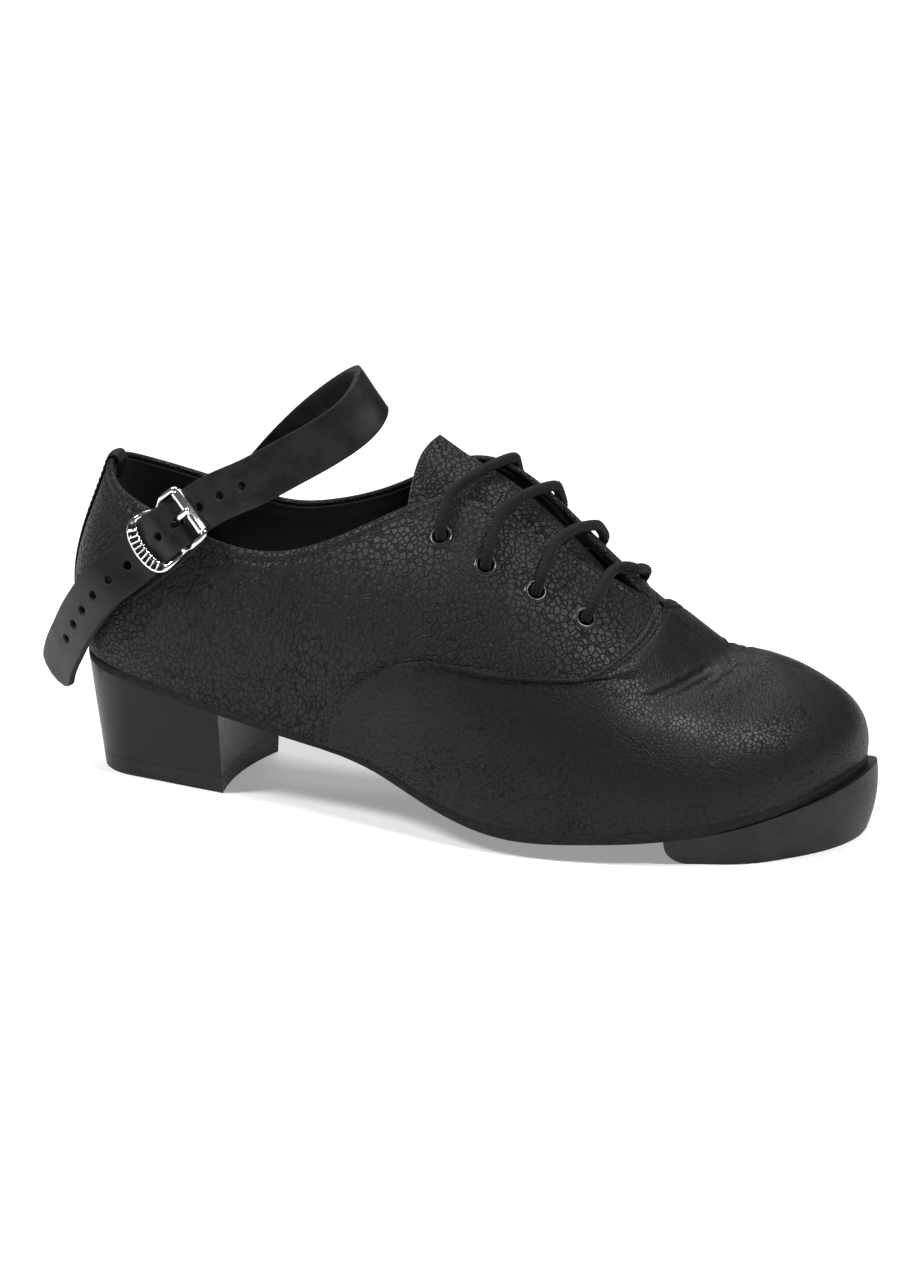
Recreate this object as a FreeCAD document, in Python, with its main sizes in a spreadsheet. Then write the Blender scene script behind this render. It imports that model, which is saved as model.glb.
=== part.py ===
import FreeCAD, Part
import math
import os
import Sketcher

# Tap shoe for the right foot, in millimetres. X runs from the heel to the toe, Y towards the inside of
# the foot, Z up. The origin is on the ground under the middle of the heel.

Vector = FreeCAD.Vector
Rotation = FreeCAD.Rotation
Placement = FreeCAD.Placement

doc = FreeCAD.newDocument("tap_shoe")
sheet = doc.addObject("Spreadsheet::Sheet", "Sizes")

SIZES = [
    ("leather", 1.4, "thickness of the outer leather"),
    ("layer_gap", 0.1, "air between two layers of the upper"),
    ("stiffener", 0.9, "thickness of puff, counter and stays"),
    ("lining", 0.8, "thickness of the lining leather"),
    ("sole_gap", 0.25, "cement line between upper and outsole"),
    ("heel_tip_height", 5.8, "height of the heel tip"),
    ("heel_half_width", 22.4, "half width of the heel breast on the ground"),
    ("heel_back_radius", 17.6, "round back of the heel on the ground"),
    ("heel_top_half_width", 27.4, "half width of the heel breast at the top of the loft"),
    ("heel_top_back_radius", 26.6, "round back of the heel at the top of the loft"),
    ("heel_front", 26.0, "heel breast on the ground"),
    ("heel_arc_centre", 7.0, "centre of the round back on the ground, behind the origin"),
    ("heel_top_arc_centre", 3.0, "centre of the round back at the top of the loft"),
    ("heel_breast_hollow", 3.0, "hollow of the heel breast"),
    ("heel_loft_height", 42.0, "height of the heel loft before the sole cuts it"),
    ("nail_radius", 0.9, "heel nail shank"),
    ("nail_head_radius", 2.0, "heel nail head"),
    ("nail_length", 20.0, "heel nail"),
    ("toe_back", 182.5, "back edge of the toe tip"),
    ("toe_front", 233.6, "flat front of the toe tip"),
    ("toe_flare", 0.6, "toe tip beyond the feather line"),
    ("toe_bulge", 3.6, "front of the toe tip beyond the feather line at its middle height"),
    ("toe_tuck", 3.5, "back corners of the toe tip inside the feather line on the ground"),
    ("toe_edge_radius", 6.8, "rounded back edge of the toe tip"),
    ("screw_radius", 1.6, "toe tip screw"),
    ("screw_head_radius", 3.2, "toe tip screw head"),
    ("eyelet_bore", 2.5, "eyelet hole radius"),
    ("eyelet_wall", 0.35, "eyelet barrel wall"),
    ("eyelet_flange", 3.9, "eyelet flange radius"),
    ("flange_height", 0.5, "eyelet flange height"),
    ("lace_radius", 1.8, "round lace"),
    ("tongue_thickness", 2.2, "tongue leather"),
    ("strap_width", 16.0, "ankle strap width"),
    ("strap_thickness", 2.5, "ankle strap thickness"),
    ("strap_hole_radius", 1.5, "punched hole"),
    ("strap_hole_pitch", 8.3, "pitch of the punched holes"),
    ("bar_radius", 1.2, "buckle bars"),
    ("roller_radius", 1.9, "buckle roller"),
    ("roller_length", 15.6, "buckle roller"),
    ("running_gap", 0.06, "radial clearance on the bars"),
    ("buckle_half_width", 10.0, "half of the buckle's outer width"),
    ("rail_radius", 0.75, "side rail of the buckle"),
    ("roller_reach", 10.4, "centre bar to roller bar"),
    ("keeper_reach", 11.9, "centre bar to keeper"),
    ("keeper_width", 4.4, "keeper end"),
    ("bar_drop", 2.0, "centre bar below the buckle plane"),
    ("plate_rise", 1.6, "roller bar and keeper above the buckle plane"),
    ("prong_radius", 1.0, "prong"),
    ("prong_ring_width", 3.4, "prong ring on the centre bar"),
]
for row, (alias, value, meaning) in enumerate(SIZES, start=1):
    sheet.set("A%d" % row, meaning)
    sheet.set("B%d" % row, str(value))
    sheet.setAlias("B%d" % row, alias)
doc.recompute()


def size(alias):
    """A driving dimension, read from the sheet."""
    return float(sheet.get(alias))


# ---------------------------------------------------------------- splines

def solve(rows, right):
    """Gaussian elimination with vectors on the right-hand side."""
    n = len(rows)
    for i in range(n):
        pivot = max(range(i, n), key=lambda r: abs(rows[r][i]))
        rows[i], rows[pivot] = rows[pivot], rows[i]
        right[i], right[pivot] = right[pivot], right[i]
        for r in range(i + 1, n):
            factor = rows[r][i] / rows[i][i]
            if factor:
                rows[r] = [a - factor * b for a, b in zip(rows[r], rows[i])]
                right[r] = right[r] - right[i] * factor
    answer = [None] * n
    for i in reversed(range(n)):
        total = right[i]
        for j in range(i + 1, n):
            total = total - answer[j] * rows[i][j]
        answer[i] = total * (1.0 / rows[i][i])
    return answer


class Spline:
    """Cubic spline through vectors at rising knots, closed with period 1 or open with free ends."""

    def __init__(self, knots, points, closed):
        self.knots = list(knots)
        self.points = list(points)
        self.closed = closed
        n = len(points)
        rows = [[0.0] * n for _ in range(n)]
        right = [Vector() for _ in range(n)]
        for i in range(n):
            if not closed and i in (0, n - 1):
                rows[i][i] = 1.0
                continue
            before = self.knots[i] - self.knots[i - 1]
            after = self.knots[(i + 1) % n] - self.knots[i]
            if closed:
                before, after = before % 1.0, after % 1.0
            rows[i][i - 1] += before
            rows[i][i] += 2.0 * (before + after)
            rows[i][(i + 1) % n] += after
            ahead = (points[(i + 1) % n] - points[i]) * (1.0 / after)
            behind = (points[i] - points[i - 1]) * (1.0 / before)
            right[i] = (ahead - behind) * 6.0
        self.bends = solve(rows, right)

    def at(self, u):
        n = len(self.knots)
        if self.closed:
            u = (u - self.knots[0]) % 1.0 + self.knots[0]
        i = 0
        while i < n - (1 if self.closed else 2) and u >= self.knots[i + 1 if i + 1 < n else 0]:
            i += 1
            if i == n - 1:
                break
        j = (i + 1) % n
        end = self.knots[j] if j else self.knots[0] + 1.0
        gap = end - self.knots[i]
        a = end - u
        b = u - self.knots[i]
        bend = self.bends[i] * (a ** 3 / (6 * gap)) + self.bends[j] * (b ** 3 / (6 * gap))
        low = (self.points[i] * (1.0 / gap) - self.bends[i] * (gap / 6)) * a
        high = (self.points[j] * (1.0 / gap) - self.bends[j] * (gap / 6)) * b
        return bend + low + high


def lerp(a, b, f):
    return a + (b - a) * f


def steps(low, high, count):
    return [lerp(low, high, i / (count - 1.0)) for i in range(count)]


# ---------------------------------------------------------------- shape of the upper

# Height of the feather line, where the upper meets the sole, along the shoe.
FEATHER_X = [-45, -29, -21, 0, 26, 55, 82, 105, 131, 158, 185, 210, 225, 231, 245]
FEATHER_Z = [44, 41.7, 40.8, 37.3, 32.5, 26.9, 22.4, 15, 9.6, 10.4, 12.6, 17.2, 22, 24.6, 32]
SOLE_THICKNESS = [3.2, 3.2, 3.2, 3.2, 3.0, 2.8, 2.8, 3.2, 3.7, 3.8, 3.7, 3.5, 3.4, 3.4, 3.4]
feather_curve = Spline([float(x) for x in FEATHER_X], [Vector(0, 0, z) for z in FEATHER_Z], False)


def feather_height(x):
    return feather_curve.at(x).z


# Stations round the shoe. Each holds: place along its side (0 at the heel, 1 at the toe), foot point in
# plan, top point, direction the wall leans out, lower handle length, lean, upper handle length and direction.
STATIONS = [
    (0.0, (-29, 0), (-22, 0, 103.5), 180, 26, 24, 22, (-8, 0, -24)),
    (0.068, (-21, -19), (-15, -14, 98.5), 232, 26, 22, 22, (-5, -7, -24)),
    (0.141, (0, -27), (2, -22.5, 93), 262, 24, 17, 20, (-1, -8, -24)),
    (0.229, (26, -29.5), (25, -26.5, 87), 268, 22, 12, 20, (0, -8, -24)),
    (0.320, (55, -30), (48, -27, 85.7), 270, 24, 12, 20, (0, -9, -20)),
    (0.408, (82, -34), (74, -23.5, 95.5), 272, 30, 12, 26, (1, -16, -20)),
    (0.488, (105, -40), (100, -12, 106), 275, 36, 12, 30, (2, -26, -12)),
    (0.576, (131, -44), (130, -8.5, 95.5), 280, 34, 10, 30, (2, -28, -9)),
    (0.667, (158, -42), (165, 6, 73), 286, 32, 8, 34, (0, -30, -2)),
    (0.760, (185, -34), (184, 14, 58.2), 300, 27, 6, 31, (3, -30, -1)),
    (0.854, (210, -18), (198, 18, 55.7), 322, 22, 8, 24, (14, -20, -5)),
    (0.930, (225, 1), (204, 18.5, 54), 345, 18, 9, 18, (20, -9, -8)),
    (1.0, (230, 21), (206, 18.5, 53.4), 5, 15.5, 9, 16, (20, 4, -8)),
    (1.070, (223, 40), (204, 18.5, 54), 35, 18, 9, 18, (17, 12, -7.1)),
    (1.146, (204, 50), (198, 18, 55.7), 65, 22, 8, 22, (8, 21, -3.2)),
    (1.240, (177, 50), (184, 14, 58.2), 82, 28, 6, 27, (0, 24, 0)),
    (1.333, (150, 45), (165, 6, 73), 90, 32, 8, 28, (-2, 26, 0)),
    (1.424, (123, 38), (130, 15, 99), 98, 34, 10, 26, (-2, 23, -11)),
    (1.512, (98, 29), (101, 15, 112.5), 96, 36, 12, 26, (-3, 18, -18)),
    (1.592, (76, 24), (74, 17, 100.5), 92, 32, 12, 24, (-2, 12, -22)),
    (1.680, (52, 23), (48, 24.5, 89.5), 90, 26, 12, 20, (0, 8, -22)),
    (1.771, (26, 26), (27, 26, 87), 92, 24, 14, 20, (0, 8, -24)),
    (1.859, (0, 26), (3, 22.5, 93), 98, 24, 18, 20, (-1, 8, -24)),
    (1.932, (-21, 18.5), (-15, 14, 99.5), 128, 26, 22, 22, (-5, 7, -24)),
]
THROAT = 0.667


def station_curves():
    """Closed curves through the foot points, the two handles and the top points."""
    knots = [row[0] / 2 for row in STATIONS]
    feet, lows, highs, tops = [], [], [], []
    for _, foot, top, bearing, low_length, lean, high_length, way in STATIONS:
        base = Vector(foot[0], foot[1], feather_height(foot[0]))
        turn, tilt = math.radians(bearing), math.radians(lean)
        rise = Vector(math.cos(turn) * math.sin(tilt), math.sin(turn) * math.sin(tilt), math.cos(tilt))
        crown = Vector(*top)
        feet.append(base)
        lows.append(base + rise * low_length)
        highs.append(crown + Vector(*way).normalize() * high_length)
        tops.append(crown)
    return [Spline(knots, points, True) for points in (feet, lows, highs, tops)]


foot_curve, low_curve, high_curve, top_curve = station_curves()


def along(s):
    """Place along its own side, 0 at the heel and 1 at the toe, of a place round the shoe."""
    s = s % 1.0
    return 2 * min(s, 1 - s)


def top_point(s):
    """Top edge: the opening, or the ridge of the vamp that both sides share forward of the throat."""
    if along(s) < THROAT:
        return top_curve.at(s)
    return (top_curve.at(s) + top_curve.at(1 - s)) * 0.5


def skin_point(s, t):
    """Outer face of the upper: s goes round the shoe, t from the feather line to the top edge."""
    r = 1 - t
    point = foot_curve.at(s) * r ** 3 + low_curve.at(s) * (3 * t * r * r)
    return point + high_curve.at(s) * (3 * t * t * r) + top_point(s) * t ** 3


def skin_normal(s, t):
    """Outward direction of the upper."""
    ds, dt = 0.0015, 0.01
    t = min(max(t, dt), 0.985)
    round_way = skin_point(s + ds, t) - skin_point(s - ds, t)
    up_way = skin_point(s, t + dt) - skin_point(s, t - dt)
    return round_way.cross(up_way).normalize()


def skin(s, t, out=0.0):
    """Point of the upper moved out, or in when out is negative, along its normal."""
    normal = skin_normal(s, t)
    if t > 0.999 and along(s) >= THROAT:
        normal = (normal + skin_normal(1 - s, t)).normalize()
    return skin_point(s, t) + normal * out


# ---------------------------------------------------------------- solid from two grids

def slab_between(upper, lower):
    """Solid between two grids of points with the same number of rows and columns."""
    sheets = []
    for grid in (upper, lower):
        surface = Part.BSplineSurface()
        surface.interpolate(grid)
        sheets.append(surface)
    faces = [surface.toShape() for surface in sheets]
    u0, u1, v0, v1 = sheets[0].bounds()
    a0, a1, b0, b1 = sheets[1].bounds()
    borders = [
        (sheets[0].uIso(u0), sheets[1].uIso(a0)),
        (sheets[0].uIso(u1), sheets[1].uIso(a1)),
        (sheets[0].vIso(v0), sheets[1].vIso(b0)),
        (sheets[0].vIso(v1), sheets[1].vIso(b1)),
    ]
    for first, second in borders:
        faces.append(Part.makeRuledSurface(first.toShape(), second.toShape(), 1))
    shell = Part.makeShell(faces)
    shell.sewShape()
    solid = Part.makeSolid(shell)
    if solid.Volume < 0:
        solid.reverse()
    return solid


def layer(places, outside, inside):
    """Layer of the upper over a grid of (s, t) places, between two distances from its outer face."""
    upper = [[skin(s, t, outside) for s, t in row] for row in places]
    lower = [[skin(s, t, inside) for s, t in row] for row in places]
    return slab_between(upper, lower)


def feature(label, shape):
    """Sub-part whose shape is set in code."""
    item = doc.addObject("Part::Feature", label)
    item.Label = label
    item.Shape = shape
    item.Placement = Placement()
    return item


# ---------------------------------------------------------------- layers of the upper

LEATHER_IN = -size("leather")
STIFF_OUT = LEATHER_IN - size("layer_gap")
STIFF_IN = STIFF_OUT - size("stiffener")
LINING_OUT = STIFF_IN - size("layer_gap")
LINING_IN = LINING_OUT - size("lining")
FOOT_CLEAR = 0.004
SEAM_CLEAR = (0.001, 0.003)

# Vamp seam on the flattened side: place along the shoe, place up the wall.
VAMP_SEAM = [
    (0.347, 0), (0.357, 0.15), (0.393, 0.304), (0.442, 0.388), (0.532, 0.430),
    (0.598, 0.483), (0.645, 0.55), (0.667, 0.70), (0.673, 0.83), (0.667, 1.0),
]
seam_knots = [i / (len(VAMP_SEAM) - 1.0) for i in range(len(VAMP_SEAM))]
seam_curve = Spline(seam_knots, [Vector(v, t, 0) for v, t in VAMP_SEAM], False)


def side_place(side, v):
    """Place round the shoe of a place v along the lateral (-1) or medial (+1) side."""
    return v / 2 if side < 0 else 1 - v / 2


def quarter_places(side):
    rows = []
    for a in steps(0, 1, 15):
        seam = seam_curve.at(a)
        row = []
        for b in steps(0, 1, 34):
            v = lerp(0.004, seam.x, b)
            t = lerp(a, seam.y, b)
            row.append((side_place(side, v), max(t, FOOT_CLEAR)))
        rows.append(row)
    return rows


def centre_line(a, throat):
    """Down the middle of the toe front, then back along the ridge to the throat."""
    turn = 0.5
    if a < turn:
        return 1.0, a / turn
    return lerp(1.0, throat, (a - turn) / (1 - turn)), 1.0


def forepart_places(edge, throat, rows, columns):
    """Places of a piece that wraps the toe from one side to the other; edge(a) is its back edge."""
    grid = []
    for a in steps(0, 1, rows):
        v_edge, t_edge = edge(a)
        v_mid, t_mid = centre_line(a, throat)
        half = []
        for b in steps(0, 1, columns):
            half.append((lerp(v_edge, v_mid, b), max(lerp(t_edge, t_mid, b), FOOT_CLEAR)))
        lateral = [(side_place(-1, v), t) for v, t in half]
        medial = [(side_place(1, v), t) for v, t in reversed(half[:-1])]
        grid.append(lateral + medial)
    return grid


def vamp_edge(a):
    place = seam_curve.at(a * 0.965)
    return place.x + SEAM_CLEAR[0], place.y - SEAM_CLEAR[1]


LINING_SEAM = (0.47, 0.667)
LINING_SEAM_BULGE = 0.07


def lining_seam(a):
    """Place along the shoe where the quarter lining meets the vamp lining, at a share of the height."""
    return lerp(LINING_SEAM[0], LINING_SEAM[1], a) + LINING_SEAM_BULGE * math.sin(math.pi * a)


def lining_edge(a):
    return lining_seam(a) + 0.002, a * 0.985


def wrap_places(reach_at, t_low, t_high, rows, columns):
    """Places of a band round the heel; reach_at(a) is its reach along each side from bottom to top."""
    grid = []
    for a in steps(0, 1, rows):
        reach = reach_at(a) / 2
        grid.append([(s, lerp(t_low, t_high, a)) for s in steps(-reach, reach, columns)])
    return grid


# Eyelets from the top down, on the lateral (-1) and the medial (+1) side.
EYELETS = {
    -1: [(0.495, 0.821), (0.543, 0.771), (0.588, 0.775), (0.628, 0.7625)],
    1: [(0.520, 0.821), (0.561, 0.790), (0.600, 0.785), (0.640, 0.775)],
}


def eyelet_axes(side):
    """Base point and outward direction of each eyelet of one side."""
    axes = []
    for v, t in EYELETS[side]:
        s = side_place(side, v)
        axes.append((skin(s, t), skin_normal(s, t)))
    return axes


def eyelet_holes(side, radius):
    reach = 8.0
    drills = []
    for base, way in eyelet_axes(side):
        drills.append(Part.makeCylinder(radius, 2 * reach, base - way * reach, way))
    return Part.makeCompound(drills)


HOLE = size("eyelet_bore") + size("eyelet_wall") + 0.1

for side, name in ((-1, "lateral"), (1, "medial")):
    holes = eyelet_holes(side, HOLE)
    quarter = layer(quarter_places(side), 0.0, LEATHER_IN)
    feature(name + "_quarter", quarter.cut(holes))
    stay_rows = []
    for t in steps(0.68, 0.94, 6):
        stay_rows.append([(side_place(side, v), t) for v in steps(0.468, 0.657, 12)])
    feature(name + "_eyelet_stay", layer(stay_rows, STIFF_OUT, STIFF_IN).cut(holes))

vamp_places = forepart_places(vamp_edge, THROAT + 0.004, 21, 31)
feature("vamp", layer(vamp_places, 0.0, LEATHER_IN))

quarter_lining_places = wrap_places(lining_seam, 0.01, 0.992, 18, 71)
quarter_lining = layer(quarter_lining_places, LINING_OUT, LINING_IN)
for side in (-1, 1):
    quarter_lining = quarter_lining.cut(eyelet_holes(side, HOLE))
feature("quarter_lining", quarter_lining)
vamp_lining_places = forepart_places(lining_edge, LINING_SEAM[1] + 0.03, 21, 25)
feature("vamp_lining", layer(vamp_lining_places, LINING_OUT, LINING_IN))

puff_places = []
for t in steps(0.02, 0.86, 12):
    puff_places.append([(s, t) for s in steps(0.43, 0.57, 25)])
feature("toe_puff", layer(puff_places, STIFF_OUT, STIFF_IN))
counter_places = wrap_places(lambda a: lerp(0.27, 0.20, a), 0.02, 0.70, 9, 21)
feature("heel_counter", layer(counter_places, STIFF_OUT, STIFF_IN))
strip_places = wrap_places(lambda a: lerp(0.018, 0.015, a), 0.01, 0.995, 14, 7)
feature("back_strip", layer(strip_places, 1.15, 0.15))

# ---------------------------------------------------------------- bottom unit

def outline(inset):
    """Closed plan curve of the feather line, moved in by the inset (out when negative)."""
    points = []
    count = 60
    for i in range(count):
        s = i / float(count)
        here = foot_curve.at(s)
        way = foot_curve.at(s + 0.004) - foot_curve.at(s - 0.004)
        side = Vector(way.y, -way.x, 0).normalize()
        points.append(Vector(here.x, here.y, 0) - side * inset)
    curve = Part.BSplineCurve()
    curve.interpolate(Points=points, PeriodicFlag=True)
    return Part.Wire(curve.toShape())


def sole_sheet(low, high):
    """Sheet that follows the feather line's height, wide and long enough for any sole layer.

    low and high are heights from the feather line, one for each point of it."""
    far = 70.0
    edges = []
    for rises in (low, high):
        points = [Vector(x, -far, z + r) for x, z, r in zip(FEATHER_X, FEATHER_Z, rises)]
        curve = Part.BSplineCurve()
        curve.interpolate(Points=points)
        edges.append(curve)
    bottom, top = edges
    ends = [(bottom.StartPoint, top.StartPoint), (bottom.EndPoint, top.EndPoint)]
    lines = [Part.makeLine(*pair) for pair in ends]
    wire = Part.Wire([bottom.toShape(), lines[1], top.toShape(), lines[0]])
    return Part.Face(wire).extrude(Vector(0, 2 * far, 0))


def level(height):
    return [height] * len(FEATHER_X)


def sole_layer(inset, low, high):
    column = Part.Face(outline(inset)).extrude(Vector(0, 0, 90)).translated(Vector(0, 0, -20))
    return column.common(sole_sheet(low, high))


def between(shape, x_low, x_high):
    """The part of a shape between two places along the shoe."""
    return shape.common(Part.makeBox(x_high - x_low, 200, 200, Vector(x_low, -100, -50)))


sole_under = [-thick for thick in SOLE_THICKNESS]
outsole = sole_layer(0.3, sole_under, level(-size("sole_gap")))
lasting_inset, lasting_width = 4.0, 11.0
rib_low, rib_high = 0.1, 2.0
inner_disc = sole_layer(lasting_inset + lasting_width, level(rib_low - 1), level(rib_high + 1))
lasting_edge = sole_layer(lasting_inset, level(rib_low), level(rib_high)).cut(inner_disc)
filler_disc = sole_layer(lasting_inset + lasting_width + 0.3, level(rib_low), level(rib_high))
cork_filler = between(filler_disc, 104, 214)
shank_strip = Part.makeBox(100, 14, 100, Vector(2, -9, -20))
shank = sole_layer(6.0, level(rib_low + 0.1), level(rib_high - 0.3)).common(shank_strip)
insole_low, insole_high = 2.1, 4.2
liner_low, liner_high = 4.3, 5.1
insole = sole_layer(4.8, level(insole_low), level(insole_high))
sock_liner = sole_layer(5.0, level(liner_low), level(liner_high))

# ---------------------------------------------------------------- heel

def plane_of(body, role):
    for item in body.Origin.OriginFeatures:
        if item.Role == role:
            return item


def new_body(label):
    body = doc.addObject("PartDesign::Body", label)
    body.Label = label
    return body


def new_sketch(body, name, role, offset=None):
    sketch = body.newObject("Sketcher::SketchObject", name)
    sketch.AttachmentSupport = [(plane_of(body, role), "")]
    sketch.MapMode = "FlatFace"
    if offset:
        sketch.setExpression("AttachmentOffset.Base.z", offset)
    return sketch


def heel_section(sketch, half_width_cell, radius_cell, centre_cell):
    """D-shaped section: hollow breast in front, sides that narrow backwards, round back."""
    half, front, hollow = size(half_width_cell), size("heel_front"), size("heel_breast_hollow")
    centre, back_radius = -size(centre_cell), size(radius_cell)
    breast_radius = (half ** 2 + hollow ** 2) / (2 * hollow)
    reach = math.asin(half / breast_radius)
    run = front - centre
    corner = math.atan2(half, run) + math.acos(back_radius / math.hypot(run, half))
    touch = Vector(centre + back_radius * math.cos(corner), back_radius * math.sin(corner), 0)
    below = Vector(touch.x, -touch.y, 0)
    breast = Part.Circle(Vector(front - hollow + breast_radius, 0, 0), Vector(0, 0, 1), breast_radius)
    back = Part.Circle(Vector(centre, 0, 0), Vector(0, 0, 1), back_radius)
    sketch.addGeometry(Part.LineSegment(below, Vector(front, -half, 0)))
    sketch.addGeometry(Part.ArcOfCircle(breast, math.pi - reach, math.pi + reach))
    sketch.addGeometry(Part.LineSegment(Vector(front, half, 0), touch))
    sketch.addGeometry(Part.ArcOfCircle(back, corner, 2 * math.pi - corner))
    line_a, breast_arc, line_b, back_arc = 0, 1, 2, 3
    start, end, middle = 1, 2, 3
    rules = [
        ("Coincident", line_a, end, breast_arc, end),
        ("Coincident", breast_arc, start, line_b, start),
        ("Tangent", line_b, end, back_arc, start),
        ("Tangent", back_arc, end, line_a, start),
        ("PointOnObject", back_arc, middle, -1),
        ("Symmetric", line_a, end, line_b, start, -1),
    ]
    for rule in rules:
        sketch.addConstraint(Sketcher.Constraint(*rule))
    sizes = [
        (Sketcher.Constraint("Radius", back_arc, back_radius), radius_cell),
        (Sketcher.Constraint("DistanceX", -1, 1, line_a, end, front), "heel_front"),
        (Sketcher.Constraint("DistanceX", back_arc, middle, -1, 1, -centre), centre_cell),
        (Sketcher.Constraint("DistanceY", -1, 1, line_b, start, half), half_width_cell),
    ]
    for constraint, cell in sizes:
        index = sketch.addConstraint(constraint)
        sketch.setExpression("Constraints[%d]" % index, "Sizes." + cell)
    sketch.addConstraint(Sketcher.Constraint("Radius", breast_arc, breast_radius))


heel_body = new_body("heel_stack")
ground_section = new_sketch(heel_body, "HeelGround", "XY_Plane")
heel_section(ground_section, "heel_half_width", "heel_back_radius", "heel_arc_centre")
top_section = new_sketch(heel_body, "HeelTop", "XY_Plane", "Sizes.heel_loft_height")
heel_section(top_section, "heel_top_half_width", "heel_top_back_radius", "heel_top_arc_centre")
doc.recompute()
stack = heel_body.newObject("PartDesign::AdditiveLoft", "HeelLoft")
stack.Profile = ground_section
stack.Sections = [top_section]
doc.recompute()

above_sole_underside = sole_sheet([r - 0.1 for r in sole_under], level(60))
tip_height = size("heel_tip_height")
tip_cutter = Part.makeBox(120, 120, 200, Vector(-60, -60, tip_height))
block_cutter = Part.makeBox(120, 120, tip_height + 0.1, Vector(-60, -60, 0))
heel_tip = heel_body.Shape.cut(tip_cutter)
heel_block = heel_body.Shape.cut(block_cutter).cut(above_sole_underside)

# Nails driven down through the insole and the outsole into the heel block.
NAILS = [(-14, -9), (-14, 9), (6, -15), (6, 15), (16, 0)]


def nail(x, y):
    head_height, length = 0.8, size("nail_length")
    top = feather_height(x) + insole_high - 0.7
    shaft = Part.makeCylinder(size("nail_radius"), length, Vector(x, y, top - length))
    head = Part.makeCylinder(size("nail_head_radius"), head_height, Vector(x, y, top - head_height))
    return shaft.fuse(head)


nail_group = Part.makeCompound([nail(x, y) for x, y in NAILS])
shank = shank.cut(nail_group)
insole = insole.cut(nail_group)
lasting_edge = lasting_edge.cut(nail_group)
outsole = outsole.cut(nail_group)
heel_block = heel_block.cut(nail_group)

# ---------------------------------------------------------------- toe tip

def part_way(x, low, high):
    """Eased share of the way from low to high, kept between 0 and 1."""
    share = min(max((x - low) / (high - low), 0), 1)
    return share * share * (3 - 2 * share)


def toe_section(height, back_flare, side_flare, front_flare):
    """Closed outline of the toe tip at one height: the feather line moved out, closed by a straight back."""
    points = []
    for s in steps(0.30, 0.70, 27):
        here = foot_curve.at(s)
        way = foot_curve.at(s + 0.004) - foot_curve.at(s - 0.004)
        side = Vector(way.y, -way.x, 0).normalize()
        flare = lerp(back_flare, side_flare, part_way(here.x, 190, 208))
        flare = lerp(flare, front_flare, part_way(here.x, 214, 230))
        points.append(Vector(here.x, here.y, height) + side * flare)
    curve = Part.BSplineCurve()
    curve.interpolate(Points=points)
    ends = [Vector(150, points[0].y, height), Vector(150, points[-1].y, height)]
    lines = [
        Part.makeLine(curve.EndPoint, ends[1]),
        Part.makeLine(ends[1], ends[0]),
        Part.makeLine(ends[0], curve.StartPoint),
    ]
    return Part.Wire([curve.toShape()] + lines)


flush = size("toe_flare")
toe_loft = Part.makeLoft([
    toe_section(0, -size("toe_tuck"), 0, flush),
    toe_section(15, flush, flush, size("toe_bulge")),
    toe_section(32, flush, flush, flush),
], True)
toe_tip = between(toe_loft, size("toe_back"), size("toe_front"))
back_edges = []
for edge in toe_tip.Edges:
    box = edge.BoundBox
    if box.ZMax < 0.01 and box.XMax < size("toe_back") + 0.01:
        back_edges.append(edge)
toe_tip = toe_tip.makeFillet(size("toe_edge_radius"), back_edges).cut(above_sole_underside)

TOE_SCREWS = [(198, -10), (203, 33), (221, 16)]


def toe_screw(x, y):
    recess, head_height, bite = 0.8, 2.0, 2.2
    top = feather_height(x) - bite
    shaft = Part.makeCylinder(size("screw_radius"), top - recess, Vector(x, y, recess))
    head = Part.makeCylinder(size("screw_head_radius"), head_height, Vector(x, y, recess))
    return shaft.fuse(head)


screw_group = Part.makeCompound([toe_screw(x, y) for x, y in TOE_SCREWS])
screw_wells = [Part.makeCylinder(size("screw_head_radius"), 1.0, Vector(x, y, 0)) for x, y in TOE_SCREWS]
toe_tip = toe_tip.cut(screw_group).cut(Part.makeCompound(screw_wells))
outsole = outsole.cut(screw_group)

bottom_unit = {
    "outsole": outsole, "insole": insole, "sock_liner": sock_liner, "shank": shank,
    "cork_filler": cork_filler, "lasting_edge": lasting_edge, "heel_tip": heel_tip,
    "heel_block": heel_block, "heel_nails": nail_group, "toe_tip": toe_tip, "toe_tip_screws": screw_group,
}
for label, shape in bottom_unit.items():
    feature(label, shape)

# ---------------------------------------------------------------- eyelets

eyelet_body = new_body("eyelet_pattern")
eyelet_sketch = new_sketch(eyelet_body, "EyeletSection", "XZ_Plane")
bore, wall = size("eyelet_bore"), size("eyelet_wall")
flange, lip = size("eyelet_flange"), size("flange_height")
deep = -LINING_IN + 0.25
section = [
    (bore, 0.05 + lip), (flange, 0.05 + lip * 0.6), (flange, 0.05), (bore + wall, 0.05),
    (bore + wall, -deep), (flange - 0.6, -deep), (flange - 0.6, -deep - lip), (bore, -deep - lip),
]
corners = [Vector(x, z, 0) for x, z in section]
for index, corner in enumerate(corners):
    eyelet_sketch.addGeometry(Part.LineSegment(corner, corners[(index + 1) % len(corners)]))
doc.recompute()
spun = eyelet_body.newObject("PartDesign::Revolution", "EyeletRing")
spun.Profile = eyelet_sketch
spun.ReferenceAxis = (eyelet_sketch, ["V_Axis"])
spun.Angle = 360
doc.recompute()

for side, name in ((-1, "lateral"), (1, "medial")):
    rings = []
    for base, way in eyelet_axes(side):
        ring = eyelet_body.Shape.copy()
        ring.Placement = Placement(base, Rotation(Vector(0, 0, 1), way))
        rings.append(ring)
    feature(name + "_eyelets", Part.makeCompound(rings))

# ---------------------------------------------------------------- tongue

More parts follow.
